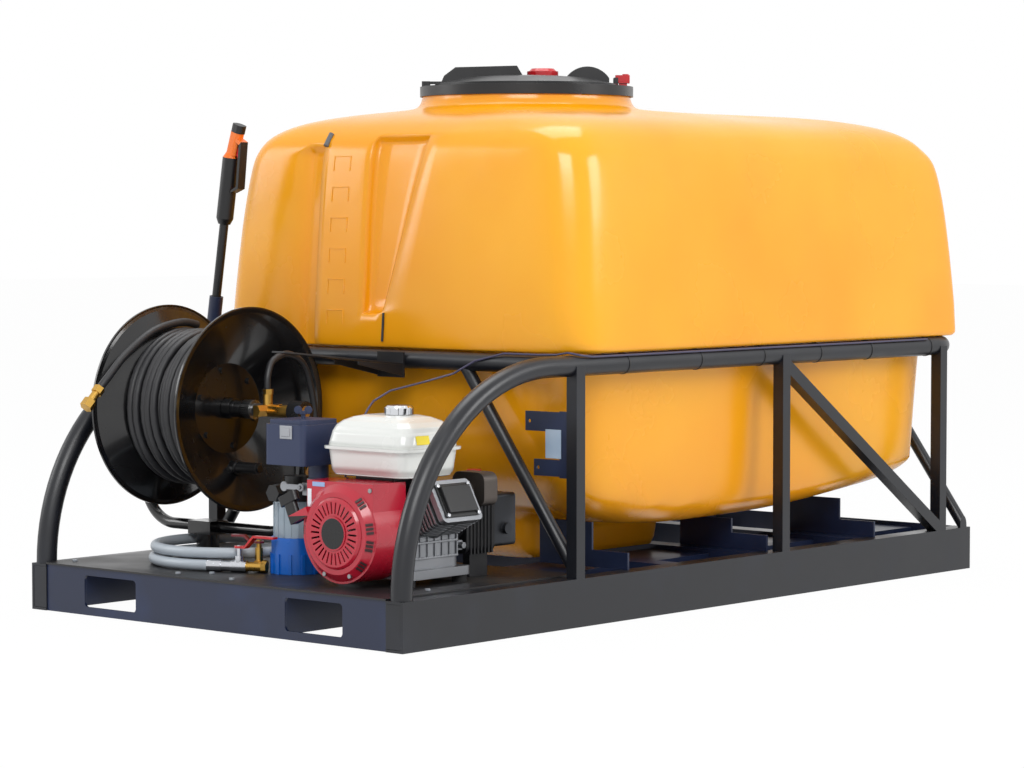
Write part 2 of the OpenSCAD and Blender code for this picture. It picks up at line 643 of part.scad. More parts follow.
fx = 45;
fy = -860;
module filter_cap() color([0.05, 0.4, 0.82]) translate([fx, fy, deck_z]) {
    difference() {
        cylinder(d = bowl_d + 12, h = 83, $fn = 64);
        translate([0, 0, 60]) cylinder(d = bowl_d + 0.4, h = 30, $fn = 64);
    }
    for (a = [0:30:330]) rotate([0, 0, a]) translate([bowl_d / 2 + 4, -4, 0]) cube([6, 8, 46]);
}
module filter_bowl() color([0.75, 0.82, 0.88]) translate([fx, fy, deck_z + 60]) difference() {
    union() {
        cylinder(d = bowl_d, h = bowl_h + 24, $fn = 64);
        for (a = [0:20:340]) rotate([0, 0, a]) translate([bowl_d / 2 - 1, -2, 25]) cube([2.5, 4, bowl_h - 6]);
    }
    translate([0, 0, 3]) cylinder(d = bowl_d - 8, h = bowl_h + 30, $fn = 64);
}
module filter_element() color([0.85, 0.85, 0.8]) translate([fx, fy, deck_z + 63.2]) difference() {
    cylinder(d = 52, h = bowl_h + 18, $fn = 48);
    translate([0, 0, -1]) cylinder(d = 40, h = bowl_h + 30, $fn = 48);
}
module filter_head() color(dark) translate([fx, fy, deck_z + bowl_h + 84]) {
    difference() {
        cylinder(d = bowl_d + 6, h = 34, $fn = 64);
        translate([0, 0, -1]) cylinder(d = bowl_d - 8, h = 12, $fn = 64);
    }
    translate([0, 0, 34]) cylinder(d = 60, h = 22, $fn = 48);
    for (s = [-1, 1]) translate([0, 0, 20]) rotate([s * 90, 0, 0]) {
        cylinder(d = 40, h = 66, $fn = 32);
        translate([0, 0, 66]) bolt(36, 12);
    }
}

// the feed line on the deck: hose end, union, first valve, tee, then a branch
// turned back with the second valve and on to the filter
line_a = 25;
module line(s) translate([-125, -978, deck_z + 14]) rotate([0, 0, line_a]) translate([s, 0, 0]) children();
module ball_valves() color([0.78, 0.79, 0.82]) {
    line(0) rotate([0, 90, 0]) {
        cylinder(d = 28, h = 18, $fn = 32);
        translate([0, 0, 18]) cylinder(d = 27.8, h = 16, $fn = 48);
        translate([0, 0, 34]) cylinder(d = 24, h = 24, $fn = 32);
        translate([0, 0, 58]) cylinder(d = 27.9, h = 38, $fn = 48);
    }
    line(77) cylinder(d = 22, h = 24, $fn = 32);
    line(77) translate([0, 0, 24]) cylinder(d = 12, h = 24, $fn = 32);
}
module lever(l, rise, w) {
    difference() {
        cylinder(d = 24, h = 5, $fn = 32);
        translate([0, 0, -1]) cylinder(d = 12.1, h = 8, $fn = 32);
    }
    rotate([90, 0, 0]) translate([0, 0, -w / 2]) linear_extrude(w)
        polygon([[9, 0], [22, 0], [22 + rise, rise], [l, rise], [l, rise + 5],
            [20 + rise, rise + 5], [20, 5], [9, 5]]);
}
module valve_lever_a() color(red) line(77) translate([0, 0, 42]) rotate([0, 0, -20]) lever(108, 26, 16);
module valve_lever_b() color([0.55, 0.08, 0.1]) line(116) translate([0, 24, 52])
    rotate([0, 0, 180]) lever(66, 14, 14);

module brass_tee() color(brass) {
    line(96) rotate([0, 90, 0]) cylinder(d = 22, h = 36, $fn = 32);
    line(132) rotate([0, 90, 0]) bolt(24, 12);
    line(116) {
        rotate([-90, 0, 0]) cylinder(d = 20, h = 62, $fn = 32);
        translate([0, 12, 0]) rotate([-90, 0, 0]) bolt(24, 26);
        translate([0, 24, 0]) cylinder(d = 18, h = 41.5, $fn = 32);
        translate([0, 24, 41.5]) cylinder(d = 12, h = 18, $fn = 32);
    }
}

// grey hose from the tank's outlet, lying in a loop and a half on the deck round
// the pedestal, its end in the feed line
suction_run = [[-150, -336, 139.55], [-150, -384, 131.4], [-190, -440, 132], [-270, -520, 136],
    [-350, -600, 146], [-397, -700, 154]];
function turns(c, r, z0, z1, a0, a1, n) = [for (i = [0:n]) let (a = a0 + (a1 - a0) * i / n)
    [c[0] + r * cos(a), c[1] + r * sin(a), z0 + (z1 - z0) * i / n]];
module suction_hose() color([0.72, 0.75, 0.78])
    sweep(concat([for (p = suction_run) p + [0, 0, skid_h - 110]],
        turns([-216, -800], 189, deck_z + 41.4, deck_z + 41.4, 180, 360, 9),
        turns([-214, -799], 193, deck_z + 35, deck_z + 21, 378, 398, 1),
        turns([-209.6, -796.8], 200, deck_z + 14, deck_z + 14, 418, 640, 11),
        [[-139.6, -984.9, deck_z + 14], [-125.4, -978.2, deck_z + 14]]), feed_d);

pump_path = [[45, -781.7, 301], [45, -755, 301], [50, -725, 299], [66, -690, 291], [92, -655, 276],
    [125, -622, 257], [160, -592, 236], [196, -570, 217], [230, -557, 206], [256, -554, 204],
    [275.9, -554, 204]];
module pump_hose() color([0.15, 0.15, 0.17])
    sweep([for (p = pump_path) p + [0, 0, deck_z + bowl_h - 197]], 22, 8);

// ---------- engine ----------

module along_y(y) translate([shaft_x, y, shaft_z]) rotate([-90, 0, 0]) children();

module engine_block() color(alu) translate([0, 0, fz]) {
    // crankcase, with the crank bore
    difference() {
        union() {
            translate([shaft_x, -830, 150]) block(190, 180, 150, 22);
            translate([shaft_x, -825, 130]) block(230, 200, 20, 12);
        }
        translate([shaft_x, -940, 237]) rotate([-90, 0, 0]) cylinder(d = 40.1, h = 240, $fn = 48);
        translate([shaft_x, -910, 237]) rotate([-90, 0, 0]) cylinder(d = 120, h = 160, $fn = 64);
    }
    // slanted finned cylinder with its head
    translate([shaft_x + 60, -830, 250]) rotate([0, 62, 0]) {
        for (i = [0:6]) translate([0, 0, 34 + i * 10]) block(96, 140, 5, 10);
        translate([0, 0, 20]) cylinder(d = 96, h = 84, $fn = 48);
        translate([0, 0, 104]) block(100, 130, 14, 14);
    }
    // bosses on the rear side cover
    for (a = [30, 90, 150, 210, 330]) translate([shaft_x, -740, 237]) rotate([0, a, 0])
        translate([78, 0, 0]) rotate([-90, 0, 0]) cylinder(d = 16, h = 10, $fn = 24);
}

grip_x = 212;
grip_y = -1036;
module fan_cowl() color(red) {
    cowl_shell();
    // rope guide that the starter grip rests on
    translate([grip_x, grip_y, shaft_z + 34]) rotate([0, -24, 0]) translate([-12, -8, -20.3]) cube([60, 22, 20]);
}
module cowl_shell() difference() {
    union() {
        along_y(-1030) linear_extrude(105) union() {
            circle(d = 224, $fn = 96);
            translate([-100, -112]) square([200, 112]);
        }
        along_y(-1044) cylinder(d1 = recoil_d + 24, d2 = 214, h = 14, $fn = 96);
    }
    along_y(-1034) cylinder(d = recoil_d + 14, h = 120, $fn = 96);
    along_y(-1034) translate([-90, -104, 8]) cube([180, 100, 120]);
    along_y(-1046) cylinder(d = recoil_d + 1, h = 20, $fn = 96);
}

module recoil_cover() color(red) along_y(-1050) difference() {
    union() {
        cylinder(d1 = recoil_d - 10, d2 = recoil_d, h = 5, $fn = 96);
        translate([0, 0, 5]) cylinder(d = recoil_d, h = 14, $fn = 96);
        translate([0, 0, -2]) cylinder(d = 70, h = 3, $fn = 64);
    }
    translate([0, 0, 3]) cylinder(d = recoil_d - 8, h = 20, $fn = 96);
    for (i = [0:recoil_n - 1]) rotate([0, 0, i * 360 / recoil_n])
        translate([recoil_d / 4 + 4, -2, -3]) cube([recoil_d / 4 - 14, 4, 12]);
}

module starter_grip() color(dark) translate([grip_x, grip_y, shaft_z + 34]) rotate([0, -24, 0]) {
    block(34, 16, 26, 7.9);
    translate([0, 0, 26]) block(56, 20, 22, 9.9);
}

module crankshaft() color([0.5, 0.5, 0.52]) {
    along_y(-1016) cylinder(d = 24, h = 330, $fn = 48);
    along_y(-1012) difference() {
        cylinder(d = recoil_d, h = 26, $fn = 96);
        translate([0, 0, -1]) cylinder(d = 24, h = 30, $fn = 48);
    }
    along_y(-922) difference() {
        union() {
            cylinder(d = 40, h = 82, $fn = 48);
            translate([0, 0, 82]) cylinder(d = 104, h = 16, $fn = 64);
            translate([0, 0, 98]) cylinder(d = 40, h = 86, $fn = 48);
        }
        translate([0, 0, -1]) cylinder(d = 24, h = 190, $fn = 48);
    }
}

fuel_x = 358;
fuel_y = -872;
module fuel_tank() color([0.87, 0.88, 0.85]) translate([fuel_x, fuel_y, fz]) {
    difference() {
        union() {
            translate([0, 0, 356]) block(fuel_w - 16, 184, 64, 30);
            translate([0, 0, 416]) block(fuel_w + 6, 206, 6, 34);
            translate([0, 0, 422]) block(fuel_w - 4, 196, 46, 32);
            translate([0, 0, 468]) block(fuel_w - 34, 164, 14, 32);
            translate([0, 0, 482]) block(fuel_w - 80, 120, 10, 30);
        }
        translate([0, 0, 360]) block(fuel_w - 24, 176, 104, 26);
        translate([20, 0, 450]) cylinder(d = 46, h = 60, $fn = 48);
    }
    // bracket down to the crankcase
    for (y = [-50, 50]) translate([-66, y, 300]) cube([110, 8, 56]);
}
module fuel_cap() color([0.75, 0.76, 0.8]) translate([fuel_x + 20, fuel_y, fz + 492]) difference() {
    union() {
        cylinder(d = 66, h = 14, $fn = 48);
        translate([0, 0, 14]) cylinder(d1 = 66, d2 = 54, h = 6, $fn = 48);
        translate([0, 0, -10]) cylinder(d = 45.8, h = 10, $fn = 48);
    }
    for (a = [0:45:315]) rotate([0, 0, a]) translate([37, 0, -1]) cylinder(d = 12, h = 30, $fn = 24);
}

ax = 132;
ay = -925;
module air_cleaner() color(steel_blue) translate([0, 0, fz]) {
    difference() {
        translate([ax, ay, 372]) block(124, 126, 92, 12);
        translate([ax, ay, 376]) block(112, 114, 84, 8);
    }
    translate([ax, ay, 464]) block(112, 114, 10, 12);
    translate([ax, ay, 474]) cylinder(d = 10, h = 12, $fn = 24);
    translate([ax, ay, 484]) rotate([0, 0, 30]) {
        cylinder(d = 16, h = 8, $fn = 24);
        for (s = [-1, 1]) translate([s * 12, 0, 10]) rotate([90, 0, 0])
            translate([0, 0, -2]) cylinder(d = 18, h = 4, $fn = 24);
    }
    // inlet elbow to the carburettor
    translate([ax + 28, ay + 20, 340]) cylinder(d = 46, h = 32, $fn = 32);
}
module carburettor() color(alu) translate([ax + 28, ay + 20, fz]) {
    translate([0, 0, 330]) cylinder(d = 52, h = 10, $fn = 32);
    translate([0, 0, 302]) block(56, 60, 28, 10);
    translate([0, 0, 262]) cylinder(d = 44, h = 40, $fn = 32);
    translate([0, 0, 254]) cylinder(d = 16, h = 8, $fn = 24);
    // inlet pipe with its flange on the crankcase
    translate([28, -4, 316]) rotate([0, 90, 0]) cylinder(d = 28, h = 80, $fn = 32);
    translate([93, -15, 300]) cube([22, 24, 34]);
    // pivots of the two levers, the lower one on a boss
    translate([8, -30, 282]) cube([28, 22, 20]);
    translate([-20, -30, 320]) rotate([90, 0, 0]) cylinder(d = 8, h = 14, $fn = 24);
    translate([30, -30, 290]) rotate([90, 0, 0]) cylinder(d = 8, h = 14, $fn = 24);
}
module choke_lever() color([0.55, 0.56, 0.58]) translate([ax + 8, ay - 16, fz + 320]) rotate([90, 0, 0])
    linear_extrude(3) difference() {
        union() {
            circle(d = 18, $fn = 32);
            translate([-48, -6]) square([48, 12]);
            translate([-52, 0]) circle(d = 22, $fn = 32);
        }
        circle(d = 8.1, $fn = 24);
    }
module throttle_lever() color([0.2, 0.2, 0.22]) translate([ax + 58, ay - 16, fz + 290]) rotate([90, 0, 0])
    linear_extrude(4) difference() {
        union() {
            circle(d = 20, $fn = 32);
            rotate([0, 0, 215]) translate([0, -7]) square([52, 14]);
            rotate([0, 0, 215]) translate([56, 0]) circle(d = 26, $fn = 32);
        }
        circle(d = 8.1, $fn = 24);
    }

muffler_y = -695;
module muffler() color([0.35, 0.33, 0.32]) translate([shaft_x + 118, muffler_y, fz + 322]) {
    rotate([90, 0, 0]) difference() {
        block(96, 76, 44, 20);
        translate([0, 0, 2]) block(90, 70, 40, 17);
    }
    translate([0, -44, 0]) rotate([90, 0, 0]) cylinder(d = 30, h = 20.9, $fn = 32);
    rotate([-90, 0, 0]) cylinder(d = 22, h = 26, $fn = 32);
}

module engine_mounts() color([0.08, 0.08, 0.08]) {
    both_rows = [[-96, -915], [96, -915], [-96, -745], [96, -745]];
    for (p = both_rows) translate([shaft_x + p[0], p[1], deck_z]) {
        cylinder(d = 34, h = 130 - 114 + fz - 0 + 114 - deck_z, $fn = 32);
    }
}

// ---------- pump ----------

pump_y = -690;
module pump_body() color([0.22, 0.22, 0.24]) translate([shaft_x, 0, shaft_z]) {
    difference() {
        union() {
            translate([0, pump_y, 0]) rotate([-90, 0, 0]) block(138, 138, 96, 16);
            translate([0, pump_y - 50, 0]) rotate([-90, 0, 0]) cylinder(d = 120, h = 50, $fn = 64);
            for (i = [0:6]) translate([-72, pump_y + 10 + i * 12, -71]) cube([144, 5, 142]);
        }
        translate([0, pump_y - 51, 0]) rotate([-90, 0, 0]) cylinder(d = 60, h = 101, $fn = 48);
    }
    // oil filler on top
    translate([44, pump_y + 60, 71]) cylinder(d = 14, h = 8, $fn = 24);
    // feet on the deck
    for (x = [-60, 40]) translate([x, pump_y + 20, deck_z - shaft_z]) cube([20, 60, shaft_z - deck_z - 70]);
}
module pump_head() color([0.35, 0.36, 0.38]) translate([shaft_x, pump_y + 96, shaft_z]) {
    rotate([-90, 0, 0]) block(134, 120, 74, 8);
    for (x = [-44, 0, 44], z = [-36, 36]) translate([x, 74, z]) rotate([-90, 0, 0]) bolt(24, 10);
    translate([67, 40, -20]) rotate([0, 90, 0]) cylinder(d = 26, h = 10, $fn = 32);
    translate([-67, 40, -33]) rotate([0, -90, 0]) cylinder(d = 26, h = 3.8, $fn = 32);
    translate([-67, 10, -10]) rotate([0, -90, 0]) cylinder(d = 20, h = 16, $fn = 32);
    // regulator column
    translate([-30, 40, 60]) cylinder(d = 34, h = 22, $fn = 32);
    translate([-30, 40, 82]) cylinder(d = 10, h = 26, $fn = 24);
}
module pressure_knob() color(red) translate([shaft_x - 30, pump_y + 136, shaft_z + 84]) difference() {
    union() {
        cylinder(d = 34, h = 26, $fn = 48);
        for (a = [0:30:330]) rotate([0, 0, a]) translate([16, -2.5, 0]) cube([3, 5, 22]);
    }
    translate([0, 0, -1]) cylinder(d = 10.1, h = 26, $fn = 24);
}

// ---------- spray gun and lance ----------

module gun_axis() translate([gun_x, gun_y, gun_z]) rotate([0, gun_lean, 0]) children();

module lance_holder() color(steel_blue) {
    difference() {
        gun_axis() cylinder(d = 34, h = 160, $fn = 48);
        gun_axis() translate([0, 0, 4]) cylinder(d = 28, h = 170, $fn = 48);
    }
    difference() {
        translate([gun_x - 14, gun_y, rail_z - 12]) cube([40, -gun_y + cross_y, 24]);
        gun_axis() translate([0, 0, -20]) cylinder(d = 34, h = 200, $fn = 48);
        translate([-skid_w, cross_y, rail_z]) rotate([0, 90, 0]) cylinder(d = cross_d + 0.1, h = 2 * skid_w);
        rail_cut();
    }
}
module lance() color(dark) gun_axis() {
    translate([0, 0, 4]) cylinder(d = lance_d, h = 336, $fn = 48);
    translate([0, 0, 340]) cylinder(d1 = 30, d2 = grip_d, h = 14, $fn = 48);
    translate([0, 0, 354]) cylinder(d = grip_d, h = 150, $fn = 48);
}
module gun_body() color([0.93, 0.45, 0.1]) gun_axis() translate([0, 0, 504]) {
    difference() {
        union() {
            cylinder(d1 = grip_d, d2 = 26, h = 14, $fn = 48);
            translate([4, 0, 8]) rotate([0, 9, 0]) block(32, 26, 58, 10);
            translate([14, 0, 64]) rotate([0, 9, 0]) block(34, 28, 20, 12);
            // guard round the trigger, its foot against the grip
            translate([0, 12, 0]) rotate([90, 0, 0]) linear_extrude(24)
                polygon([[18, 52], [40, 44], [46, -70], [grip_d / 2 + 0.3, -84], [grip_d / 2 + 0.3, -78],
                    [38, -66], [33, 36], [18, 42]]);
        }
        // slot for the trigger
        translate([6, -5, -2]) cube([27, 10, 44]);
    }
    translate([14, -12, 30]) rotate([-90, 0, 0]) cylinder(d = 4, h = 24, $fn = 24);
}
module gun_trigger() color(red) gun_axis() translate([14, 4, 534]) rotate([90, 0, 0]) linear_extrude(8)
    difference() {
        polygon([[-4, 6], [4, 6], [16, -14], [21, -70], [16, -72], [12, -27], [2, -18]]);
        circle(d = 4.1, $fn = 24);
    }

side_channels();
cross_plates();
fork_sleeves();
deck_plate();
top_rail();
cross_tube();
posts();
side_braces();
lateral_braces();
tank_saddles();
valve_bracket();
tool_arm();
rail_cable();
cable_ties();
tank_body();
lid_ring();
tank_lid();
lid_vent();
lid_latch();
tank_outlet();
reel_stand();
reel_disc_left();
reel_disc_right();
reel_drum();
reel_swivel();
crank_grip();
hose_pack();
hose_tail();
hose_fitting();
feed_hose();
filter_head();
filter_bowl();
filter_cap();
filter_element();
ball_valves();
valve_lever_a();
valve_lever_b();
brass_tee();
suction_hose();
pump_hose();
engine_block();
fan_cowl();
recoil_cover();
starter_grip();
crankshaft();
fuel_tank();
fuel_cap();
air_cleaner();
carburettor();
choke_lever();
throttle_lever();
muffler();
engine_mounts();
pump_body();
pump_head();
pressure_knob();
lance_holder();
lance();
gun_body();
gun_trigger();
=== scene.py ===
"""Skid-mounted petrol pressure washer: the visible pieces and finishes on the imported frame."""

import math

import bmesh
import bpy
from mathutils import Matrix, Vector
from mathutils.bvhtree import BVHTree


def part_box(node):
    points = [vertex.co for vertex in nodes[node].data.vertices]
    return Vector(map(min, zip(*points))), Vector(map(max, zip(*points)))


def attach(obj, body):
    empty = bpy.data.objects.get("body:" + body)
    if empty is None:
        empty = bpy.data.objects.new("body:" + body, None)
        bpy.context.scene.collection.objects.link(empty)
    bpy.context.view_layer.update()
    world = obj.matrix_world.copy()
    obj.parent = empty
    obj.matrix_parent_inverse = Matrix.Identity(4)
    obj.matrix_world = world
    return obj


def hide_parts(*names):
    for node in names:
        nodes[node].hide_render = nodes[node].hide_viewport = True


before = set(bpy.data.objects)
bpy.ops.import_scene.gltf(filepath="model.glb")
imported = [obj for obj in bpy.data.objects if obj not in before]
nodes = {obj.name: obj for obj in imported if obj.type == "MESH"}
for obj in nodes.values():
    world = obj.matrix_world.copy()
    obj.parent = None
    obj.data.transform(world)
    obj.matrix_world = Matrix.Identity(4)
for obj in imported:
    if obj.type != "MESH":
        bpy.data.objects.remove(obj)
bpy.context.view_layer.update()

# ---------------------------------------------------------------- camera
# A long lens at standing height, looking at the corner with the engine.
# It is turned 41 degrees from the operator's end and tilted 3 degrees down.
camera = bpy.data.objects.new("camera", bpy.data.cameras.new("camera"))
bpy.context.scene.collection.objects.link(camera)
camera.data.sensor_width = 36
camera.data.lens = 112.52
camera.data.clip_end = 100
camera.location = (5.2154, -6.0550, 0.9365)
camera.rotation_euler = (math.radians(90 - 3.05), 0, math.radians(41))
bpy.context.scene.camera = camera


# ---------------------------------------------------------------- studio
# A white paper floor and an even white surround. Two broad soft boxes at the front and
# one strip at the back shape the curved surfaces without hard shadows.
def linear(code):
    """sRGB hex to the linear colour that the shader takes"""
    rgb = [int(code[i : i + 2], 16) / 255 for i in (1, 3, 5)]
    return [c / 12.92 if c <= 0.04045 else ((c + 0.055) / 1.055) ** 2.4 for c in rgb] + [1]


def put(tree, kind, inputs=None, **settings):
    """adds one shader node with its settings, values and links"""
    made = tree.nodes.new(kind)
    for name, value in settings.items():
        setattr(made, name, value)
    for name, value in (inputs or {}).items():
        if isinstance(value, bpy.types.NodeSocket):
            tree.links.new(value, made.inputs[name])
        else:
            made.inputs[name].default_value = value
    return made


def looked_at(tree):
    """one where the camera, a gloss or a clear part looks, nought where light bounces"""
    ray = put(tree, "ShaderNodeLightPath").outputs
    seen = put(tree, "ShaderNodeMath", {0: ray["Is Camera Ray"], 1: ray["Is Transmission Ray"]},
               operation="MAXIMUM")
    return put(tree, "ShaderNodeMath", {0: seen.outputs[0], 1: ray["Is Glossy Ray"]},
               operation="MAXIMUM").outputs[0]


def paper_floor():
    """matt white paper, which shows as plain white with a faint shadow where it is looked at"""
    made = bpy.data.materials.new("paper_floor")
    made.use_nodes = True
    tree = made.node_tree
    tree.nodes.clear()
    paper = put(tree, "ShaderNodeBsdfDiffuse", {"Color": linear("#F4F5F6")})
    glow = put(tree, "ShaderNodeEmission", {"Color": (1, 1, 1, 1), "Strength": 1.0})
    share = put(tree, "ShaderNodeMath", {0: looked_at(tree), 1: 0.975}, operation="MULTIPLY")
    mixed = put(tree, "ShaderNodeMixShader", {0: share.outputs[0], 1: paper.outputs[0],
                                              2: glow.outputs[0]})
    put(tree, "ShaderNodeOutputMaterial", {"Surface": mixed.outputs[0]})
    return made


world = bpy.data.worlds.new("studio")
bpy.context.scene.world = world
world.use_nodes = True
sky = world.node_tree
sky.nodes.clear()
bpy.context.scene.view_settings.view_transform = "Standard"
ambient = put(sky, "ShaderNodeBackground", {"Color": linear("#F2F5FA"), "Strength": 0.55})
white = put(sky, "ShaderNodeBackground", {"Color": (1, 1, 1, 1), "Strength": 1.0})
both = put(sky, "ShaderNodeMixShader", {0: looked_at(sky), 1: ambient.outputs[0],
                                        2: white.outputs[0]})
put(sky, "ShaderNodeOutputWorld", {"Surface": both.outputs[0]})

floor_mesh = bpy.data.meshes.new("floor")
shape = bmesh.new()
bmesh.ops.create_grid(shape, x_segments=1, y_segments=1, size=30)
shape.to_mesh(floor_mesh)
shape.free()
floor = bpy.data.objects.new("floor", floor_mesh)
floor.data.materials.append(paper_floor())
bpy.context.scene.collection.objects.link(floor)

for name, place, aim, width, height, power in (
    ("key_box", (3.4, -4.6, 4.2), (0, -0.3, 0.6), 3.2, 2.4, 190),
    ("side_box", (5.2, 2.2, 3.0), (0.3, 0.3, 0.6), 3.0, 2.2, 120),
    ("top_box", (-0.6, 0.4, 5.2), (0, 0.1, 0.6), 3.6, 3.0, 110),
    ("left_box", (-4.6, -3.4, 2.6), (-0.2, -0.5, 0.6), 2.4, 2.0, 60),
):
    lamp = bpy.data.objects.new(name, bpy.data.lights.new(name, "AREA"))
    lamp.data.shape = "RECTANGLE"
    lamp.data.size = width
    lamp.data.size_y = height
    lamp.data.energy = power
    lamp.location = place
    lamp.rotation_euler = (Vector(aim) - Vector(place)).to_track_quat("-Z", "Y").to_euler()
    bpy.context.scene.collection.objects.link(lamp)


# ---------------------------------------------------------------- skid and cage
# Folded steel channels, plates, square posts and one bent tube, welded and powder
# coated in a dark slate blue. The coat is smooth with a fine orange peel. The plates and
# brackets take a bluer copy of the coat, which is a painted blue reflection; the channels,
# rail, tubes and posts take the darker copy.
def finish(name, colour, rough, coat=0.0, metal=0.0, ior=1.5):
    """a new material with its shader; the colour and roughness may be linked afterwards"""
    made = bpy.data.materials.new(name)
    made.use_nodes = True
    tree = made.node_tree
    tree.nodes.clear()
    shader = put(
        tree, "ShaderNodeBsdfPrincipled",
        {"Base Color": linear(colour), "Roughness": rough, "Metallic": metal, "Coat Weight": coat,
         "Coat Roughness": 0.08},
    )
    if metal == 0.0:
        shader.inputs["IOR"].default_value = ior
    put(tree, "ShaderNodeOutputMaterial", {"Surface": shader.outputs[0]})
    place = put(tree, "ShaderNodeTexCoord").outputs["Object"]
    return made, tree, shader, place


def grain(tree, place, size_mm, detail=2.0, seed=0.0):
    """noise whose lumps are about size_mm across, on the piece's own place"""
    moved = put(tree, "ShaderNodeMapping", {"Vector": place, "Location": (seed, seed, seed)})
    return put(
        tree, "ShaderNodeTexNoise",
        {"Vector": moved.outputs[0], "Scale": 500 / size_mm, "Detail": detail},
    ).outputs[0]


def between(tree, value, low, high, to_low=0.0, to_high=1.0):
    """value from low to high, turned to to_low to to_high"""
    return put(
        tree, "ShaderNodeMapRange",
        {"Value": value, "From Min": low, "From Max": high, "To Min": to_low, "To Max": to_high},
    ).outputs[0]


def two_tone(tree, amount, first, second):
    """first and second colour, mixed by amount"""
    mixed = put(tree, "ShaderNodeMix", {0: amount}, data_type="RGBA")
    mixed.inputs[6].default_value = linear(first)
    mixed.inputs[7].default_value = linear(second)
    return mixed.outputs[2]


def relief(tree, shader, height, depth_mm, edge_mm=0.0):
    """bumps of that depth, and edges that look rounded by edge_mm"""
    bumped = put(tree, "ShaderNodeBump",
                 {"Height": height, "Distance": depth_mm / 1000, "Strength": 1.0})
    if edge_mm:
        softened = put(tree, "ShaderNodeBevel", {"Radius": edge_mm / 1000}, samples=4)
        tree.links.new(softened.outputs[0], bumped.inputs["Normal"])
    tree.links.new(bumped.outputs[0], shader.inputs["Normal"])


def powder_coat(name, colour, worn, rough=0.34):
    """powder coat on steel: orange peel of about 2 mm, a little dust and paler rub marks"""
    made, tree, shader, place = finish(name, colour, rough)
    peel = grain(tree, place, 2.2, 1.0)
    cloud = grain(tree, place, 90, 4.0, 3.0)
    rubbed = between(tree, cloud, 0.52, 0.74)
    tree.links.new(two_tone(tree, rubbed, colour, worn), shader.inputs["Base Color"])
    tree.links.new(between(tree, cloud, 0.3, 0.7, rough - 0.06, rough + 0.12),
                   shader.inputs["Roughness"])
    relief(tree, shader, peel, 0.05, 1.2)
    return made


def dress(names, material):
    """gives whole CAD pieces their material"""
    for name in names:
        nodes[name].data.materials.clear()
        nodes[name].data.materials.append(material)


# the bluer coat is the same paint with a painted blue reflection in its colour, as the front
# plates look under the bluish light
blue_reflection_coat = powder_coat("powder_coated_steel_painted_blue_reflection", "#16203A", "#1D2A4A")
dress(("cross_plates", "fork_sleeves", "tank_saddles", "valve_bracket", "lance_holder"),
      blue_reflection_coat)
dark_coat = powder_coat("powder_coated_steel_blue_black", "#101218", "#181B24")
dress(("side_channels", "top_rail", "cross_tube", "posts", "side_braces", "lateral_braces"),
      dark_coat)


def finished(name, shape, material, body, smooth=False):
    """puts the built shape into the scene as one piece that rides on a body"""
    bmesh.ops.recalc_face_normals(shape, faces=shape.faces)
    for face in shape.faces:
        face.smooth = smooth
    mesh = bpy.data.meshes.new(name)
    shape.to_mesh(mesh)
    shape.free()
    mesh.materials.append(material)
    piece = bpy.data.objects.new(name, mesh)
    bpy.context.scene.collection.objects.link(piece)
    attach(piece, body)
    return piece


def slabs(name, boxes, edge, material, body="frame"):
    """plates between low and high corners in millimetres, with rounded edges, as one piece"""
    shape = bmesh.new()
    for low, high in boxes:
        low, high = Vector(low) / 1000, Vector(high) / 1000
        corners = bmesh.ops.create_cube(shape, size=1)["verts"]
        bmesh.ops.scale(shape, vec=high - low, verts=corners)
        bmesh.ops.translate(shape, vec=(low + high) / 2, verts=corners)
        sides = list({line for corner in corners for line in corner.link_edges})
        bmesh.ops.bevel(shape, geom=sides, offset=edge / 1000, segments=2, profile=0.5,
                        affect="EDGES", material=-1)
    return finished(name, shape, material, body)


def discs(name, places, axis, material, body="frame", sides=32, edge=0.5):
    """turned or hexagonal discs on one axis as one piece: centre, radius and height in mm"""
    turn = Vector((0, 0, 1)).rotation_difference(Vector(axis)).to_matrix().to_4x4()
    shape = bmesh.new()
    for centre, radius, height in places:
        stand = Matrix.Translation(Vector(centre) / 1000) @ turn
        ends = bmesh.ops.create_cone(
            shape, cap_ends=True, segments=sides, radius1=radius / 1000, radius2=radius / 1000,
            depth=height / 1000, matrix=stand @ Matrix.Translation((0, 0, height / 2000)))["verts"]
        rims = list({line for corner in ends for line in corner.link_edges
                     if any(len(face.verts) > 4 for face in line.link_faces)})
        bmesh.ops.bevel(shape, geom=rims, offset=edge / 1000, segments=2, profile=0.5,
                        affect="EDGES", material=-1)
    return finished(name, shape, material, body)


# the plates that close the four ends of the side channels
half, long, high = (c * 1000 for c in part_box("side_channels")[1])
caps = slabs("channel_end_caps",
             [((x - 22, y - 2, 6.3), (x + 22, y + 2, high - 6.3))
              for x in (half - 28.3, 28.3 - half) for y in (long - 2.5, 2.5 - long)],
             0.8, dark_coat)

# pale backing plate on the valve bracket
back_plate = slabs("bracket_plate", [((502, -517.4, 380), (548, -515.2, 446))], 0.6,
                   powder_coat("zinc_plated_steel", "#8FA3B8", "#B4C2D0", 0.3))

deck_coat = powder_coat("powder_coated_steel_black", "#19191C", "#2A2622", 0.42)
dress(("deck_plate", "tool_arm"), deck_coat)
deck_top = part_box("deck_plate")[1].z
screw_zinc = powder_coat("zinc_plated_screws", "#9AA0A6", "#C4C8CC", 0.3)
deck_screws = discs("deck_screws",
                    [((x, y, deck_top * 1000 - 0.2), 6.5, 5) for x, y in
                     ((-137, -1061), (-79, -1010), (42, -1064), (515, -929), (-515, -1040))],
                    (0, 0, 1), screw_zinc, sides=6, edge=0.6)

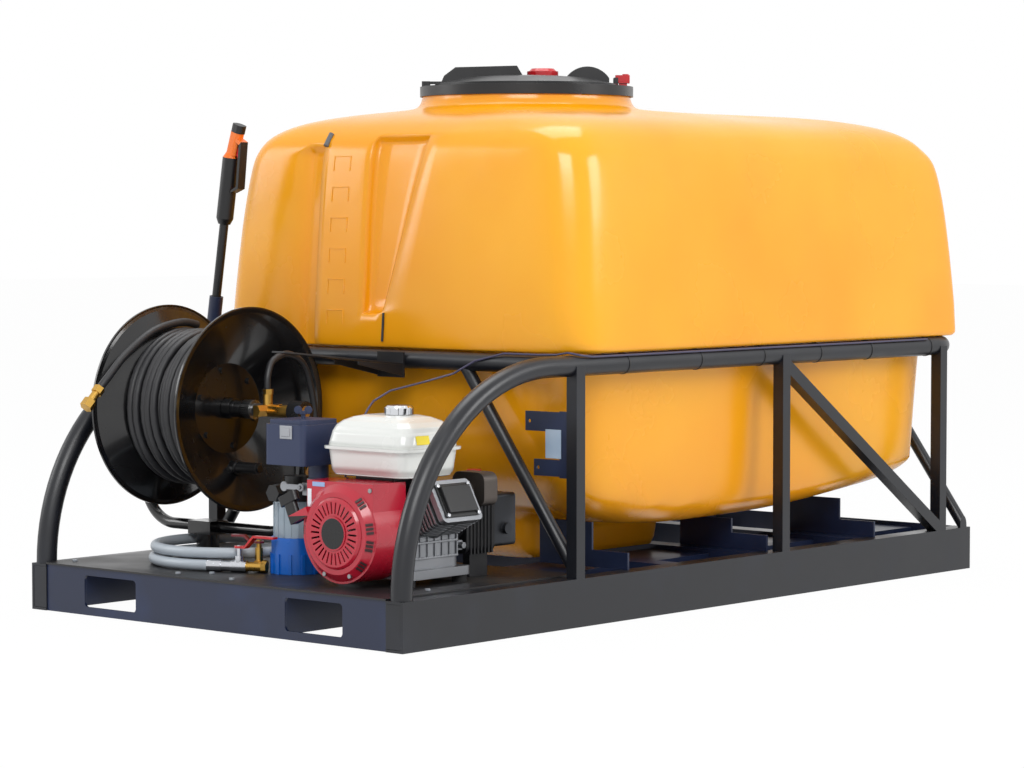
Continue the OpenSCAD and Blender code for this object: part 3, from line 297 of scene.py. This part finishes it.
# ---------------------------------------------------------------- rail cable and ties
# A thin control cable in a smooth sheath, laid along the rail and tied down with black
# nylon ties, which are wrapped round the tube and pulled tight.
def rubber(name, colour, rough=0.55, lump_mm=1.5):
    """extruded rubber or soft plastic: nearly smooth, with handling marks and faint dust"""
    made, tree, shader, place = finish(name, colour, rough, ior=1.52)
    cloud = grain(tree, place, 60, 4.0, 5.0)
    tree.links.new(between(tree, cloud, 0.35, 0.7, rough - 0.1, rough + 0.12),
                   shader.inputs["Roughness"])
    relief(tree, shader, grain(tree, place, lump_mm, 2.0), 0.04, 0.6)
    return made


cable_sheath = rubber("vinyl_sheath_violet_grey", "#3D3A55", 0.4)
tie_nylon = rubber("black_nylon", "#121214", 0.45)
dress(("rail_cable",), cable_sheath)
dress(("cable_ties",), tie_nylon)


# ---------------------------------------------------------------- tank shell
# One rotational moulding in golden-orange polyethylene. The mould leaves soft, slightly
# wavy walls, round corners and a gloss skin; the two recesses have crisper edges.
def polyethylene():
    """moulded polyethylene: gloss skin, waves of 60 to 120 mm and a fine 3 mm peel"""
    made, tree, shader, place = finish("rotomoulded_polyethylene_orange", "#EE9F10", 0.2, ior=1.51)
    cloud = grain(tree, place, 300, 3.0, 2.0)
    tree.links.new(two_tone(tree, between(tree, cloud, 0.35, 0.65), "#EC9A0A", "#F2A818"),
                   shader.inputs["Base Color"])
    tree.links.new(between(tree, grain(tree, place, 140, 4.0), 0.35, 0.7, 0.16, 0.32),
                   shader.inputs["Roughness"])
    shader.inputs["Subsurface Weight"].default_value = 0.08
    shader.inputs["Subsurface Radius"].default_value = (0.02, 0.01, 0.004)
    shader.inputs["Subsurface Scale"].default_value = 0.5
    waves = put(tree, "ShaderNodeBump", {"Height": grain(tree, place, 95, 1.0, 9.0),
                                         "Distance": 0.0022, "Strength": 1.0})
    peel = put(tree, "ShaderNodeBump", {"Height": grain(tree, place, 3, 1.0), "Distance": 0.00006,
                                        "Strength": 1.0, "Normal": waves.outputs[0]})
    tree.links.new(peel.outputs[0], shader.inputs["Normal"])
    return made


orange_skin = polyethylene()


def smooth_copy(node, name, crease_angle, levels=2, crease=0.7):
    """a smoothed copy of a CAD solid's mesh: quads again, sharp edges kept crisp"""
    shape = bmesh.new()
    shape.from_mesh(nodes[node].data)
    bmesh.ops.remove_doubles(shape, verts=shape.verts, dist=0.00002)
    bmesh.ops.join_triangles(shape, faces=shape.faces, angle_face_threshold=math.radians(24),
                             angle_shape_threshold=math.radians(60))
    sharp = shape.edges.layers.float.new("crease_edge")
    for edge in shape.edges:
        if len(edge.link_faces) == 2 and edge.calc_face_angle() > math.radians(crease_angle):
            edge[sharp] = crease
    for face in shape.faces:
        face.smooth = True
    mesh = bpy.data.meshes.new(name)
    shape.to_mesh(mesh)
    shape.free()
    piece = bpy.data.objects.new(name, mesh)
    bpy.context.scene.collection.objects.link(piece)
    surface = piece.modifiers.new("smooth", "SUBSURF")
    surface.levels = surface.render_levels = levels
    return piece


tank_shell = smooth_copy("tank_body", "tank_shell", 38)
tank_shell.data.materials.append(orange_skin)
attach(tank_shell, "frame")
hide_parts("tank_body")


def bent_rod(name, paths, diameter, material, body="frame", sides=10):
    """thin ribs, wires or straps along straight lines in millimetres, as one piece"""
    line = bpy.data.curves.new(name, "CURVE")
    line.dimensions = "3D"
    line.bevel_depth = diameter / 2000
    line.bevel_resolution = sides // 4
    line.use_fill_caps = True
    for path in paths:
        spline = line.splines.new("POLY")
        spline.points.add(len(path) - 1)
        for point, place in zip(spline.points, path):
            point.co = (*(Vector(place) / 1000), 1)
    line.materials.append(material)
    piece = bpy.data.objects.new(name, line)
    bpy.context.scene.collection.objects.link(piece)
    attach(piece, body)
    return piece


solid = bmesh.new()
solid.from_mesh(nodes["tank_body"].data)
tank_skin = BVHTree.FromBMesh(solid)
solid.free()


def tank_front(x, z):
    """y of the tank's front wall at x and z, all in millimetres"""
    return tank_skin.ray_cast(Vector((x, -700, z)) / 1000, Vector((0, 1, 0)))[0].y * 1000


def on_front(x, z, out=0.0):
    """a place on the tank's front wall, out of it by so many millimetres"""
    return (x, tank_front(x, z) - out, z)


# six raised filling marks: a top rib with two short legs
marks = bent_rod("filling_marks", [
    [on_front(-206, top - 34), on_front(-206, top), on_front(-152, top), on_front(-152, top - 34)]
    for top in (1074, 1000, 926, 852, 778, 704)], 3.4, orange_skin)

# the strap that holds the tank to the rail below the wide recess
strap_black = powder_coat("strap_webbing", "#26262A", "#3A3A3E", 0.6)
strap = bent_rod("holding_strap",
                 [[on_front(-16, 700, 2), on_front(-17, 660, 2), on_front(-18, 632, 2)]],
                 6, strap_black)

# vent fitting at the head of the narrow recess
vent_x, vent_low = -240, 1100
vent_rod = bent_rod("recess_fitting",
                    [[on_front(vent_x, vent_low, 4), on_front(vent_x, vent_low + 30, 3)]], 13,
                    powder_coat("fitting_grey", "#5A5D60", "#8A8D90", 0.4), sides=24)

# ---------------------------------------------------------------- lid, ring, vent and latch
# Glass-filled polypropylene mouldings, black ones for the ring and the lid and red ones
# for the vent and the latch. Their skins are satin with a fine spark-eroded grain.
def moulded(name, colour, rough, grit_mm=1.2, edge_mm=1.5, coat=0.0, depth_mm=0.03):
    """injection moulding: even colour, fine grain, edges with the mould's small radius"""
    made, tree, shader, place = finish(name, colour, rough, coat, ior=1.49)
    cloud = grain(tree, place, 70, 3.0, 4.0)
    tree.links.new(between(tree, cloud, 0.35, 0.7, max(rough - 0.07, 0.05), rough + 0.08),
                   shader.inputs["Roughness"])
    relief(tree, shader, grain(tree, place, grit_mm, 2.0), depth_mm, edge_mm)
    return made


black_moulding = moulded("polypropylene_black", "#141416", 0.34)
red_moulding = moulded("polypropylene_red", "#C01820", 0.26, 1.0, 1.2, 0.2)
for name, material in (("lid_ring", black_moulding), ("tank_lid", black_moulding),
                       ("lid_vent", red_moulding), ("lid_latch", red_moulding),
                       ("tank_outlet", black_moulding)):
    dress((name,), material)

# ---------------------------------------------------------------- hose reel
# Two deep spun steel discs bolted to a drum, turning in a bent-tube stand on a pedestal.
# All of it is stove enamelled in gloss black; the swivel and its elbow are machined brass.
def enamel(name, colour, rough, edge_mm=1.0):
    """stove enamel on steel: deep gloss, a long soft peel and thin dust"""
    made, tree, shader, place = finish(name, colour, rough, 0.4)
    cloud = grain(tree, place, 80, 4.0, 6.0)
    tree.links.new(between(tree, cloud, 0.35, 0.75, rough - 0.05, rough + 0.15),
                   shader.inputs["Roughness"])
    relief(tree, shader, grain(tree, place, 5, 1.0), 0.08, edge_mm)
    return made


def machined(name, colour, rough, edge_mm=0.6, coarse=0.4):
    """turned or milled metal: bright, with fine tool marks and darker handling stains"""
    made, tree, shader, place = finish(name, colour, rough, metal=1.0)
    cloud = grain(tree, place, 18, 4.0, 7.0)
    tree.links.new(between(tree, cloud, 0.3, 0.7, max(rough - 0.1, 0.05), rough + 0.16),
                   shader.inputs["Roughness"])
    relief(tree, shader, grain(tree, place, coarse, 2.0), 0.02, edge_mm)
    return made


black_enamel = enamel("stove_enamel_black", "#0C0C0E", 0.2)
brass_stock = machined("machined_brass", "#C39A4C", 0.3)
dress(("reel_stand", "reel_disc_left", "reel_disc_right", "reel_drum"), black_enamel)
dress(("reel_swivel", "hose_fitting", "brass_tee"), brass_stock)


def part_of(node, material, inside):
    """gives the faces whose middle lies inside their own material, on the same CAD piece"""
    mesh = nodes[node].data
    mesh.materials.append(material)
    for face in mesh.polygons:
        if inside(face.center):
            face.material_index = len(mesh.materials) - 1


swivel_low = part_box("reel_swivel")[0].x
part_of("reel_swivel", machined("turned_steel_collar", "#8C8C8C", 0.3),
        lambda p: swivel_low + 0.048 < p.x < swivel_low + 0.104)
part_of("reel_swivel", black_enamel, lambda p: p.x <= swivel_low + 0.048)
dress(("crank_grip",), black_moulding)


# ---------------------------------------------------------------- wound pressure hose
# Wire-braided rubber hose of 19 mm, about 40 m of it, wound side by side on the drum.
# The outer layer lies in the hollows of the layer below it.
def tube(name, points, diameter, material, body, smooth=6, sides=12):
    """a round tube along a smooth line through the points, closed at both ends"""
    line = [Vector(p) for p in points]
    fine = []
    for i in range(len(line) - 1):
        a, b, c, d = line[max(i - 1, 0)], line[i], line[i + 1], line[min(i + 2, len(line) - 1)]
        for k in range(smooth):
            t = k / smooth
            fine.append(0.5 * (2 * b + (c - a) * t + (2 * a - 5 * b + 4 * c - d) * t * t
                               + (3 * b - a - 3 * c + d) * t ** 3))
    fine.append(line[-1])
    curve = bpy.data.curves.new(name, "CURVE")
    curve.dimensions = "3D"
    spline = curve.splines.new("POLY")
    spline.points.add(len(fine) - 1)
    for point, place in zip(spline.points, fine):
        point.co = (*place, 1)
    curve.bevel_depth = diameter / 2
    curve.bevel_resolution = max((sides - 4) // 2, 1)
    curve.use_fill_caps = True
    curve.materials.append(material)
    piece = bpy.data.objects.new(name, curve)
    bpy.context.scene.collection.objects.link(piece)
    spline.use_smooth = True
    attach(piece, body)
    return piece


# the rail's cable goes on from the end of its solid, down beside the engine to the carburettor
cable_end = tube("rail_cable_end", [(0.180, -0.745, 0.508), (0.196, -0.790, 0.480),
                                    (0.208, -0.840, 0.410), (0.209, -0.868, 0.345),
                                    (0.205, -0.880, 0.318)], 0.005, cable_sheath, "frame")

black_rubber = rubber("hose_rubber_black", "#1E1E21", 0.5, 2.0)
hose_d = 0.019
pack_low, pack_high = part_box("hose_pack")
axle = Vector((0, (pack_low.y + pack_high.y) / 2, (pack_low.z + pack_high.z) / 2))
outer_r = (pack_high.z - pack_low.z) / 2
for name, radius, first, last, rounds in (
    ("hose_layer_outer", outer_r - hose_d / 2, pack_low.x + 0.020, pack_high.x - 0.020, 8),
    ("hose_layer_under", outer_r - hose_d * 1.28, pack_low.x + 0.029, pack_high.x - 0.029, 8),
    ("hose_layer_deep", outer_r - hose_d * 2.05, pack_low.x + 0.038, pack_high.x - 0.038, 7),
):
    steps = rounds * 36
    winding = []
    for i in range(steps + 1):
        # hand winding: the strands wander sideways and lie a little slack in places
        angle = 2 * math.pi * i / 36 + 1.2
        slack = 0.0035 * math.sin(i / 17) + 0.0015 * math.sin(i / 5.3)
        drift = 0.006 * math.sin(i / 36 * 2.1 + radius * 400) * math.sin(math.pi * i / steps)
        winding.append((first + (last - first) * i / steps + drift,
                        axle.y + (radius - abs(slack)) * math.cos(angle),
                        axle.z + (radius - abs(slack)) * math.sin(angle)))
    layer = tube(name, winding, hose_d, black_rubber, "reel", 1)
    if name == "hose_layer_outer":
        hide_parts("hose_pack")

# ---------------------------------------------------------------- loose hose end
# The last 0.4 m of the pressure hose comes off the top of the winding and hangs over
# the front, with its brass and plated coupling crimped on.
tail_points = [(-0.445, -0.705, 0.6672), (-0.445, -0.760, 0.6747), (-0.445, -0.850, 0.656),
               (-0.443, -0.940, 0.603), (-0.438, -1.000, 0.552), (-0.440, -1.024, 0.528)]
loose_end = tube("hose_loose_end", tail_points, hose_d, black_rubber, "frame", 4)
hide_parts("hose_tail")

# ---------------------------------------------------------------- hoses on the deck
# A black pressure hose from the pump to the swivel, a short one from the filter to the
# pump, and a ribbed grey suction hose lying in a loop and a half round the pedestal.
grey_vinyl = rubber("vinyl_hose_light_grey", "#AEB6BD", 0.4, 3.0)
feed_points = [(-0.150, -0.759, 0.5243), (-0.151, -0.757, 0.556), (-0.156, -0.735, 0.590),
               (-0.160, -0.680, 0.604), (-0.162, -0.626, 0.575), (-0.160, -0.600, 0.505),
               (-0.150, -0.594, 0.420), (-0.125, -0.596, 0.330), (-0.090, -0.606, 0.240),
               (-0.045, -0.622, 0.175), (0.020, -0.632, 0.146), (0.090, -0.632, 0.138),
               (0.150, -0.626, 0.144), (0.205, -0.604, 0.176), (0.236, -0.588, 0.214),
               (0.250, -0.584, 0.227), (0.2637, -0.584, 0.227)]
feed = tube("reel_feed_hose", feed_points, 0.016, black_rubber, "frame")
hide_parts("feed_hose")
pump_points = [(0.045, -0.7817, 0.301), (0.045, -0.755, 0.301), (0.050, -0.725, 0.299),
               (0.066, -0.690, 0.291), (0.092, -0.655, 0.276), (0.125, -0.622, 0.257),
               (0.160, -0.592, 0.236), (0.196, -0.570, 0.217), (0.230, -0.557, 0.206),
               (0.256, -0.554, 0.204), (0.2759, -0.554, 0.204)]
pump_feed = tube("pump_inlet_hose", pump_points, 0.022, black_rubber, "frame")
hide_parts("pump_hose")


def turns(cx, cy, radius, low, high, start, stop, count):
    """points along part of a turn, rising from low to high"""
    return [(cx + radius * math.cos(math.radians(start + (stop - start) * i / count)),
             cy + radius * math.sin(math.radians(start + (stop - start) * i / count)),
             low + (high - low) * i / count) for i in range(count + 1)]


suction_points = (
    [(-0.150, -0.336, 0.13955), (-0.150, -0.384, 0.1314), (-0.190, -0.440, 0.132),
     (-0.270, -0.520, 0.136), (-0.350, -0.600, 0.146), (-0.397, -0.700, 0.154)]
    + turns(-0.216, -0.800, 0.189, deck_top + 0.0414, deck_top + 0.0414, 180, 360, 9)
    + turns(-0.214, -0.799, 0.193, deck_top + 0.035, deck_top + 0.021, 378, 398, 1)
    + turns(-0.2096, -0.7968, 0.200, deck_top + 0.014, deck_top + 0.014, 418, 640, 11)
    + [(-0.1396, -0.9849, deck_top + 0.014), (-0.1254, -0.9782, deck_top + 0.014)]
)
suction = tube("grey_suction_hose", suction_points, 0.025, grey_vinyl, "frame", 5, 16)
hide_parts("suction_hose")

# ---------------------------------------------------------------- filter and valves
# A blue cap and black head with a clear ribbed bowl between them, a pleated cartridge
# inside, nickel-plated ball valves with dipped levers and a brass tee.
blue_moulding = moulded("polypropylene_blue", "#0A66C8", 0.28)


def clear_bowl():
    """styrene-acrylonitrile bowl, milky with use, so light goes through but shapes don't"""
    made, tree, shader, place = finish("clear_filter_bowl", "#AFC0CC", 0.22, ior=1.57)
    shader.inputs["Transmission Weight"].default_value = 0.35
    relief(tree, shader, grain(tree, place, 6, 2.0), 0.1, 1.0)
    return made


nickel = machined("nickel_plated_brass", "#C9CBD0", 0.16, 0.8, 0.8)
dipped_red = moulded("dipped_vinyl_red", "#C8141C", 0.3, 2.0, 1.5, 0.3)
dipped_dark = moulded("dipped_vinyl_dark_red", "#6E1420", 0.34, 2.0, 1.5, 0.2)
paper = moulded("filter_paper", "#D8D6CC", 0.7, 2.0)
for name, material in (("filter_cap", blue_moulding), ("filter_bowl", clear_bowl()),
                       ("filter_head", black_moulding), ("filter_element", paper),
                       ("ball_valves", nickel), ("valve_lever_a", dipped_red),
                       ("valve_lever_b", dipped_dark)):
    dress((name,), material)

# ---------------------------------------------------------------- engine
# A small air-cooled petrol engine: die-cast crankcase, red enamelled fan cowl and starter,
# off-white pressed fuel tank, dark blue air cleaner, black levers and rubber feet.
def die_cast(name, colour, rough=0.42):
    """sand-blasted die casting: dull silver, 1 mm grain, soft edges"""
    made, tree, shader, place = finish(name, colour, rough, metal=1.0)
    cloud = grain(tree, place, 40, 4.0, 8.0)
    tree.links.new(between(tree, cloud, 0.3, 0.7, rough - 0.08, rough + 0.16),
                   shader.inputs["Roughness"])
    relief(tree, shader, grain(tree, place, 1.2, 3.0), 0.12, 1.2)
    return made


casting = die_cast("die_cast_aluminium", "#8E9094")
crimson = enamel("stove_enamel_crimson", "#B0102A", 0.22, 1.5)
off_white = enamel("stove_enamel_off_white", "#DADBD6", 0.2, 3.0)
turned_steel = machined("turned_steel", "#9A9A9C", 0.32)
chrome = machined("chrome_plate", "#D8DADE", 0.1, 1.0, 2.0)
cleaner_blue = moulded("polypropylene_dark_blue", "#232E4C", 0.42, 1.4, 2.0)
lever_grey = moulded("acetal_grey", "#9A9CA0", 0.4)
soft_black = moulded("nylon_black", "#101012", 0.4)
hot_steel = die_cast("heat_stained_steel", "#5C5652", 0.5)
foot_rubber = rubber("foot_rubber_black", "#0E0E0F", 0.7)
for name, material in (("engine_block", casting), ("fan_cowl", crimson), ("recoil_cover", crimson),
                       ("starter_grip", soft_black), ("crankshaft", turned_steel),
                       ("fuel_cap", chrome), ("air_cleaner", cleaner_blue),
                       ("carburettor", casting), ("choke_lever", lever_grey),
                       ("throttle_lever", soft_black), ("muffler", hot_steel),
                       ("engine_mounts", foot_rubber)):
    dress((name,), material)

# the recoil starter's dark plate, the painted shade of the louvres beside it and the bare places
# of its labels
shaft = sum(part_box("recoil_cover"), Vector()) * 500
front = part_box("recoil_cover")[0].y * 1000
plate_black = moulded("anodised_plate_black", "#0D0D0F", 0.3)
centre_plate = discs("starter_plate", [((shaft.x, front - 1.2, shaft.z), 34, 1.4)], (0, 1, 0),
                     plate_black, sides=64, edge=0.4)
rim = discs("starter_plate_rim", [((shaft.x, front - 0.5, shaft.z), 37.5, 0.8)], (0, 1, 0),
            crimson, sides=64, edge=0.3)


def louvres(name, angles, material):
    """thin dark plates in the cowl's sloping ring, one behind the other round the shaft: painted
    shade for the dark inside of its short windows
    """
    shape = bmesh.new()
    for angle in angles:
        stand = (Matrix.Translation((shaft.x / 1000, -1.0387, shaft.z / 1000))
                 @ Matrix.Rotation(-math.radians(angle), 4, "Y")
                 @ Matrix.Translation((0.1, 0, 0)) @ Matrix.Rotation(math.radians(41), 4, "Z"))
        for step in (-1, 0, 1):
            corners = bmesh.ops.create_cube(shape, size=1)["verts"]
            bmesh.ops.scale(shape, vec=(0.0165, 0.0016, 0.0058), verts=corners)
            bmesh.ops.transform(shape, matrix=stand @ Matrix.Translation((0, 0, 0.0092 * step)),
                                verts=corners)
            sides = list({line for corner in corners for line in corner.link_edges})
            bmesh.ops.bevel(shape, geom=sides, offset=0.0005, segments=2, profile=0.5,
                            affect="EDGES", material=-1)
    return finished(name, shape, material, "frame")


# the louvre plates' dark colour is painted shade, not a finish of the cowl
louvres("cowl_louvre_painted_shade", (-43, -13, 9, 44), moulded("louvre_shadow", "#2A060C", 0.5))
label_white = moulded("label_foil_white", "#D9DDE2", 0.35)
slabs("cowl_label_side", [((249, -1030.9, 290), (261, -1029.9, 330))], 0.3, label_white)
slabs("cowl_label_top", [((264, -1030.9, 336), (302, -1029.9, 346))], 0.45,
              moulded("label_foil_blue", "#8FA6CC", 0.35))
# the rope guide is a black moulding on the crimson cowl
cowl_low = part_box("fan_cowl")[0]
part_of("fan_cowl", soft_black,
        lambda p: p.x < cowl_low.x + 0.036 and p.z > cowl_low.z + 0.09
        and p.y < cowl_low.y + 0.026)

# pressed fuel tank: two drawn halves rolled together at a seam, the upper one domed
def drawn(name, centre, steps, corner, material):
    """a rounded plan pulled upwards through (height, width, depth) steps, both ends closed"""
    shape = bmesh.new()
    plan = bmesh.ops.create_circle(shape, cap_ends=True, segments=4, radius=math.sqrt(0.5),
                                   matrix=Matrix.Rotation(math.radians(45), 4, "Z"))["verts"]
    low, width, depth = steps[0]
    bmesh.ops.scale(shape, vec=(width / 1000, depth / 1000, 1), verts=plan)
    bmesh.ops.bevel(shape, geom=plan, offset=corner / 1000, offset_type="OFFSET", segments=6,
                    profile=0.5, affect="VERTICES", material=-1)
    bmesh.ops.translate(shape, vec=Vector(centre) / 1000 + Vector((0, 0, low / 1000)),
                        verts=shape.verts)
    face = shape.faces[:]
    for (below, was_w, was_d), (above, now_w, now_d) in zip(steps, steps[1:]):
        pulled = bmesh.ops.extrude_face_region(shape, geom=face)["geom"]
        face = [part for part in pulled if isinstance(part, bmesh.types.BMFace)]
        corners = [part for part in pulled if isinstance(part, bmesh.types.BMVert)]
        bmesh.ops.translate(shape, vec=(0, 0, (above - below) / 1000), verts=corners)
        middle = Matrix.Translation(-Vector((centre[0], centre[1], 0)) / 1000)
        bmesh.ops.scale(shape, vec=(now_w / was_w, now_d / was_d, 1), space=middle, verts=corners)
    bmesh.ops.holes_fill(shape, edges=shape.edges, sides=0)
    piece = finished(name, shape, material, "frame", smooth=True)
    soft = piece.modifiers.new("smooth", "SUBSURF")
    soft.levels = soft.render_levels = 2
    return piece


tank_low, tank_high = (c * 1000 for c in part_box("fuel_tank"))
middle = ((tank_low.x + tank_high.x) / 2, (tank_low.y + tank_high.y) / 2, 0)
wide, deep = tank_high.x - tank_low.x, tank_high.y - tank_low.y
seam = tank_high.z - 76
petrol_tank = drawn("petrol_tank", middle, (
    (seam - 60, wide - 66, deep - 66), (seam - 60, wide - 52, deep - 52),
    (seam - 58, wide - 40, deep - 40), (seam - 48, wide - 28, deep - 28),
    (seam - 4, wide - 18, deep - 18), (seam - 1, wide - 18, deep - 18),
    (seam - 0.8, wide - 2, deep - 2), (seam + 5.2, wide - 1, deep - 1),
    (seam + 5.6, wide - 17, deep - 17), (seam + 10, wide - 17, deep - 17),
    (seam + 38, wide - 30, deep - 30), (seam + 52, wide - 44, deep - 44),
    (seam + 62, wide - 70, deep - 66), (seam + 70, wide - 110, deep - 96),
    (seam + 74.6, wide - 160, deep - 130), (seam + 74.8, wide - 176, deep - 146)), 26, off_white)
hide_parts("fuel_tank")
legs = slabs("petrol_tank_brackets",
             [((292, y, 300.2), (402, y + 8, 357)) for y in (-922, -822)], 1.0, soft_black)
sticker = slabs("petrol_tank_label", [((-0.5, -21, -10), (0.5, 21, 10))], 0.3,
                moulded("label_foil_yellow", "#E9D21C", 0.35))
sticker.data.transform(Matrix.Translation(Vector((tank_high.x - 11.2, -906, seam + 24)) / 1000)
                       @ Matrix.Rotation(math.radians(-13), 4, "Y"))

# ribs of the crankcase and the pressed valve cover on the slanted head
crank_side = shaft.x + 95
ribs = slabs("crankcase_ribs", [((crank_side - 1, y, 176), (crank_side + 3.5, y + 4, 246))
                                for y in range(-900, -752, 24)]
             + [((crank_side - 1, -908, z), (crank_side + 4.5, -752, z + 5))
                for z in (172, 206, 240)],
             0.8, casting)
head = (Matrix.Translation((shaft.x / 1000 + 0.06, -0.830, shaft.z / 1000 + 0.013))
        @ Matrix.Rotation(math.radians(62), 4, "Y"))


def on_head(name, shape_of, material):
    """a piece built square above the origin, then stood on the slanted cylinder head"""
    piece = shape_of(name)
    piece.data.transform(head)
    piece.data.materials.clear()
    piece.data.materials.append(material)
    return piece


cover = on_head("valve_cover", lambda name: slabs(
    name, [((-40, -54, 117.5), (40, 54, 122)), ((-32, -46, 121), (32, 46, 131))], 2.0, soft_black),
    soft_black)
cover_bolts = on_head("valve_cover_bolts", lambda name: discs(
    name, [((x, y, 121.5), 5, 5) for x in (-35, 35) for y in (-49, 49)], (0, 0, 1), chrome,
    sides=6), chrome)
plug_foot = head @ Vector((0.046, -0.03, 0.096))
plug_lead = bent_rod("spark_plug_lead",
                     [[plug_foot * 1000, (plug_foot + Vector((0.010, 0, 0.018))) * 1000,
                       (488, -872, 320), (474, -890, 341), (452, -900, 344)]],
                     7, soft_black, sides=16)

# the air cleaner's clip and the bolts of the cowl
slabs("cleaner_clip", [((122, -990.6, 432), (160, -988.2, 462)),
                               ((128, -992.4, 438), (154, -990.2, 456))], 0.9, lever_grey)
discs("cowl_bolts", [((shaft.x + 38, -1034.5, shaft.z - 92), 5.5, 6.5),
                             ((shaft.x - 38, -1034.5, shaft.z - 92), 5.5, 6.5),
                             ((shaft.x + 93, -1029.8, shaft.z + 98), 5.5, 3.5)], (0, -1, 0),
              turned_steel, sides=6)

# ---------------------------------------------------------------- pump
# A three-plunger pump bolted to the crankcase: finned black crankcase, dark cast head,
# red regulator knob of ribbed nylon.
pump_coat = powder_coat("pump_enamel_black", "#18181B", "#26262A", 0.4)
pump_casting = die_cast("dark_cast_iron", "#4A4C50", 0.46)
knob_nylon = moulded("nylon_red", "#B8141C", 0.4)
for name, material in (("pump_body", pump_coat), ("pump_head", pump_casting),
                       ("pressure_knob", knob_nylon)):
    dress((name,), material)

pump_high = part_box("pump_body")[1] * 1000
discs("pump_drain",
              [((pump_high.x - 3, -722, 192), 13, 9), ((pump_high.x + 6, -722, 192), 8, 12)],
              (1, 0, 0), casting, sides=6, edge=0.8)
head_low, head_high = (c * 1000 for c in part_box("pump_head"))
discs("pump_head_bolts",
              [((x, y, head_low.z + 112), 7, 7) for x in (head_low.x + 22, head_high.x - 60)
               for y in (head_low.y + 18, head_high.y - 20)], (0, 0, 1), chrome, sides=6)

# ---------------------------------------------------------------- spray gun
# A long lance with a black rubber grip in an upright holder, an orange gun body moulded
# round the valve and a red trigger behind its guard.
gun_orange = moulded("nylon_orange", "#E8701A", 0.36)
dress(("lance",), soft_black)
dress(("gun_trigger",), knob_nylon)
dress(("gun_body",), gun_orange)
gun_low, gun_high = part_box("gun_body")
part_of("gun_body", soft_black, lambda p: p.z > gun_high.z - 0.028 or (
    p.z < gun_high.z - 0.05 and p.x > gun_low.x + 0.036 + 0.105 * (p.z - gun_low.z)))
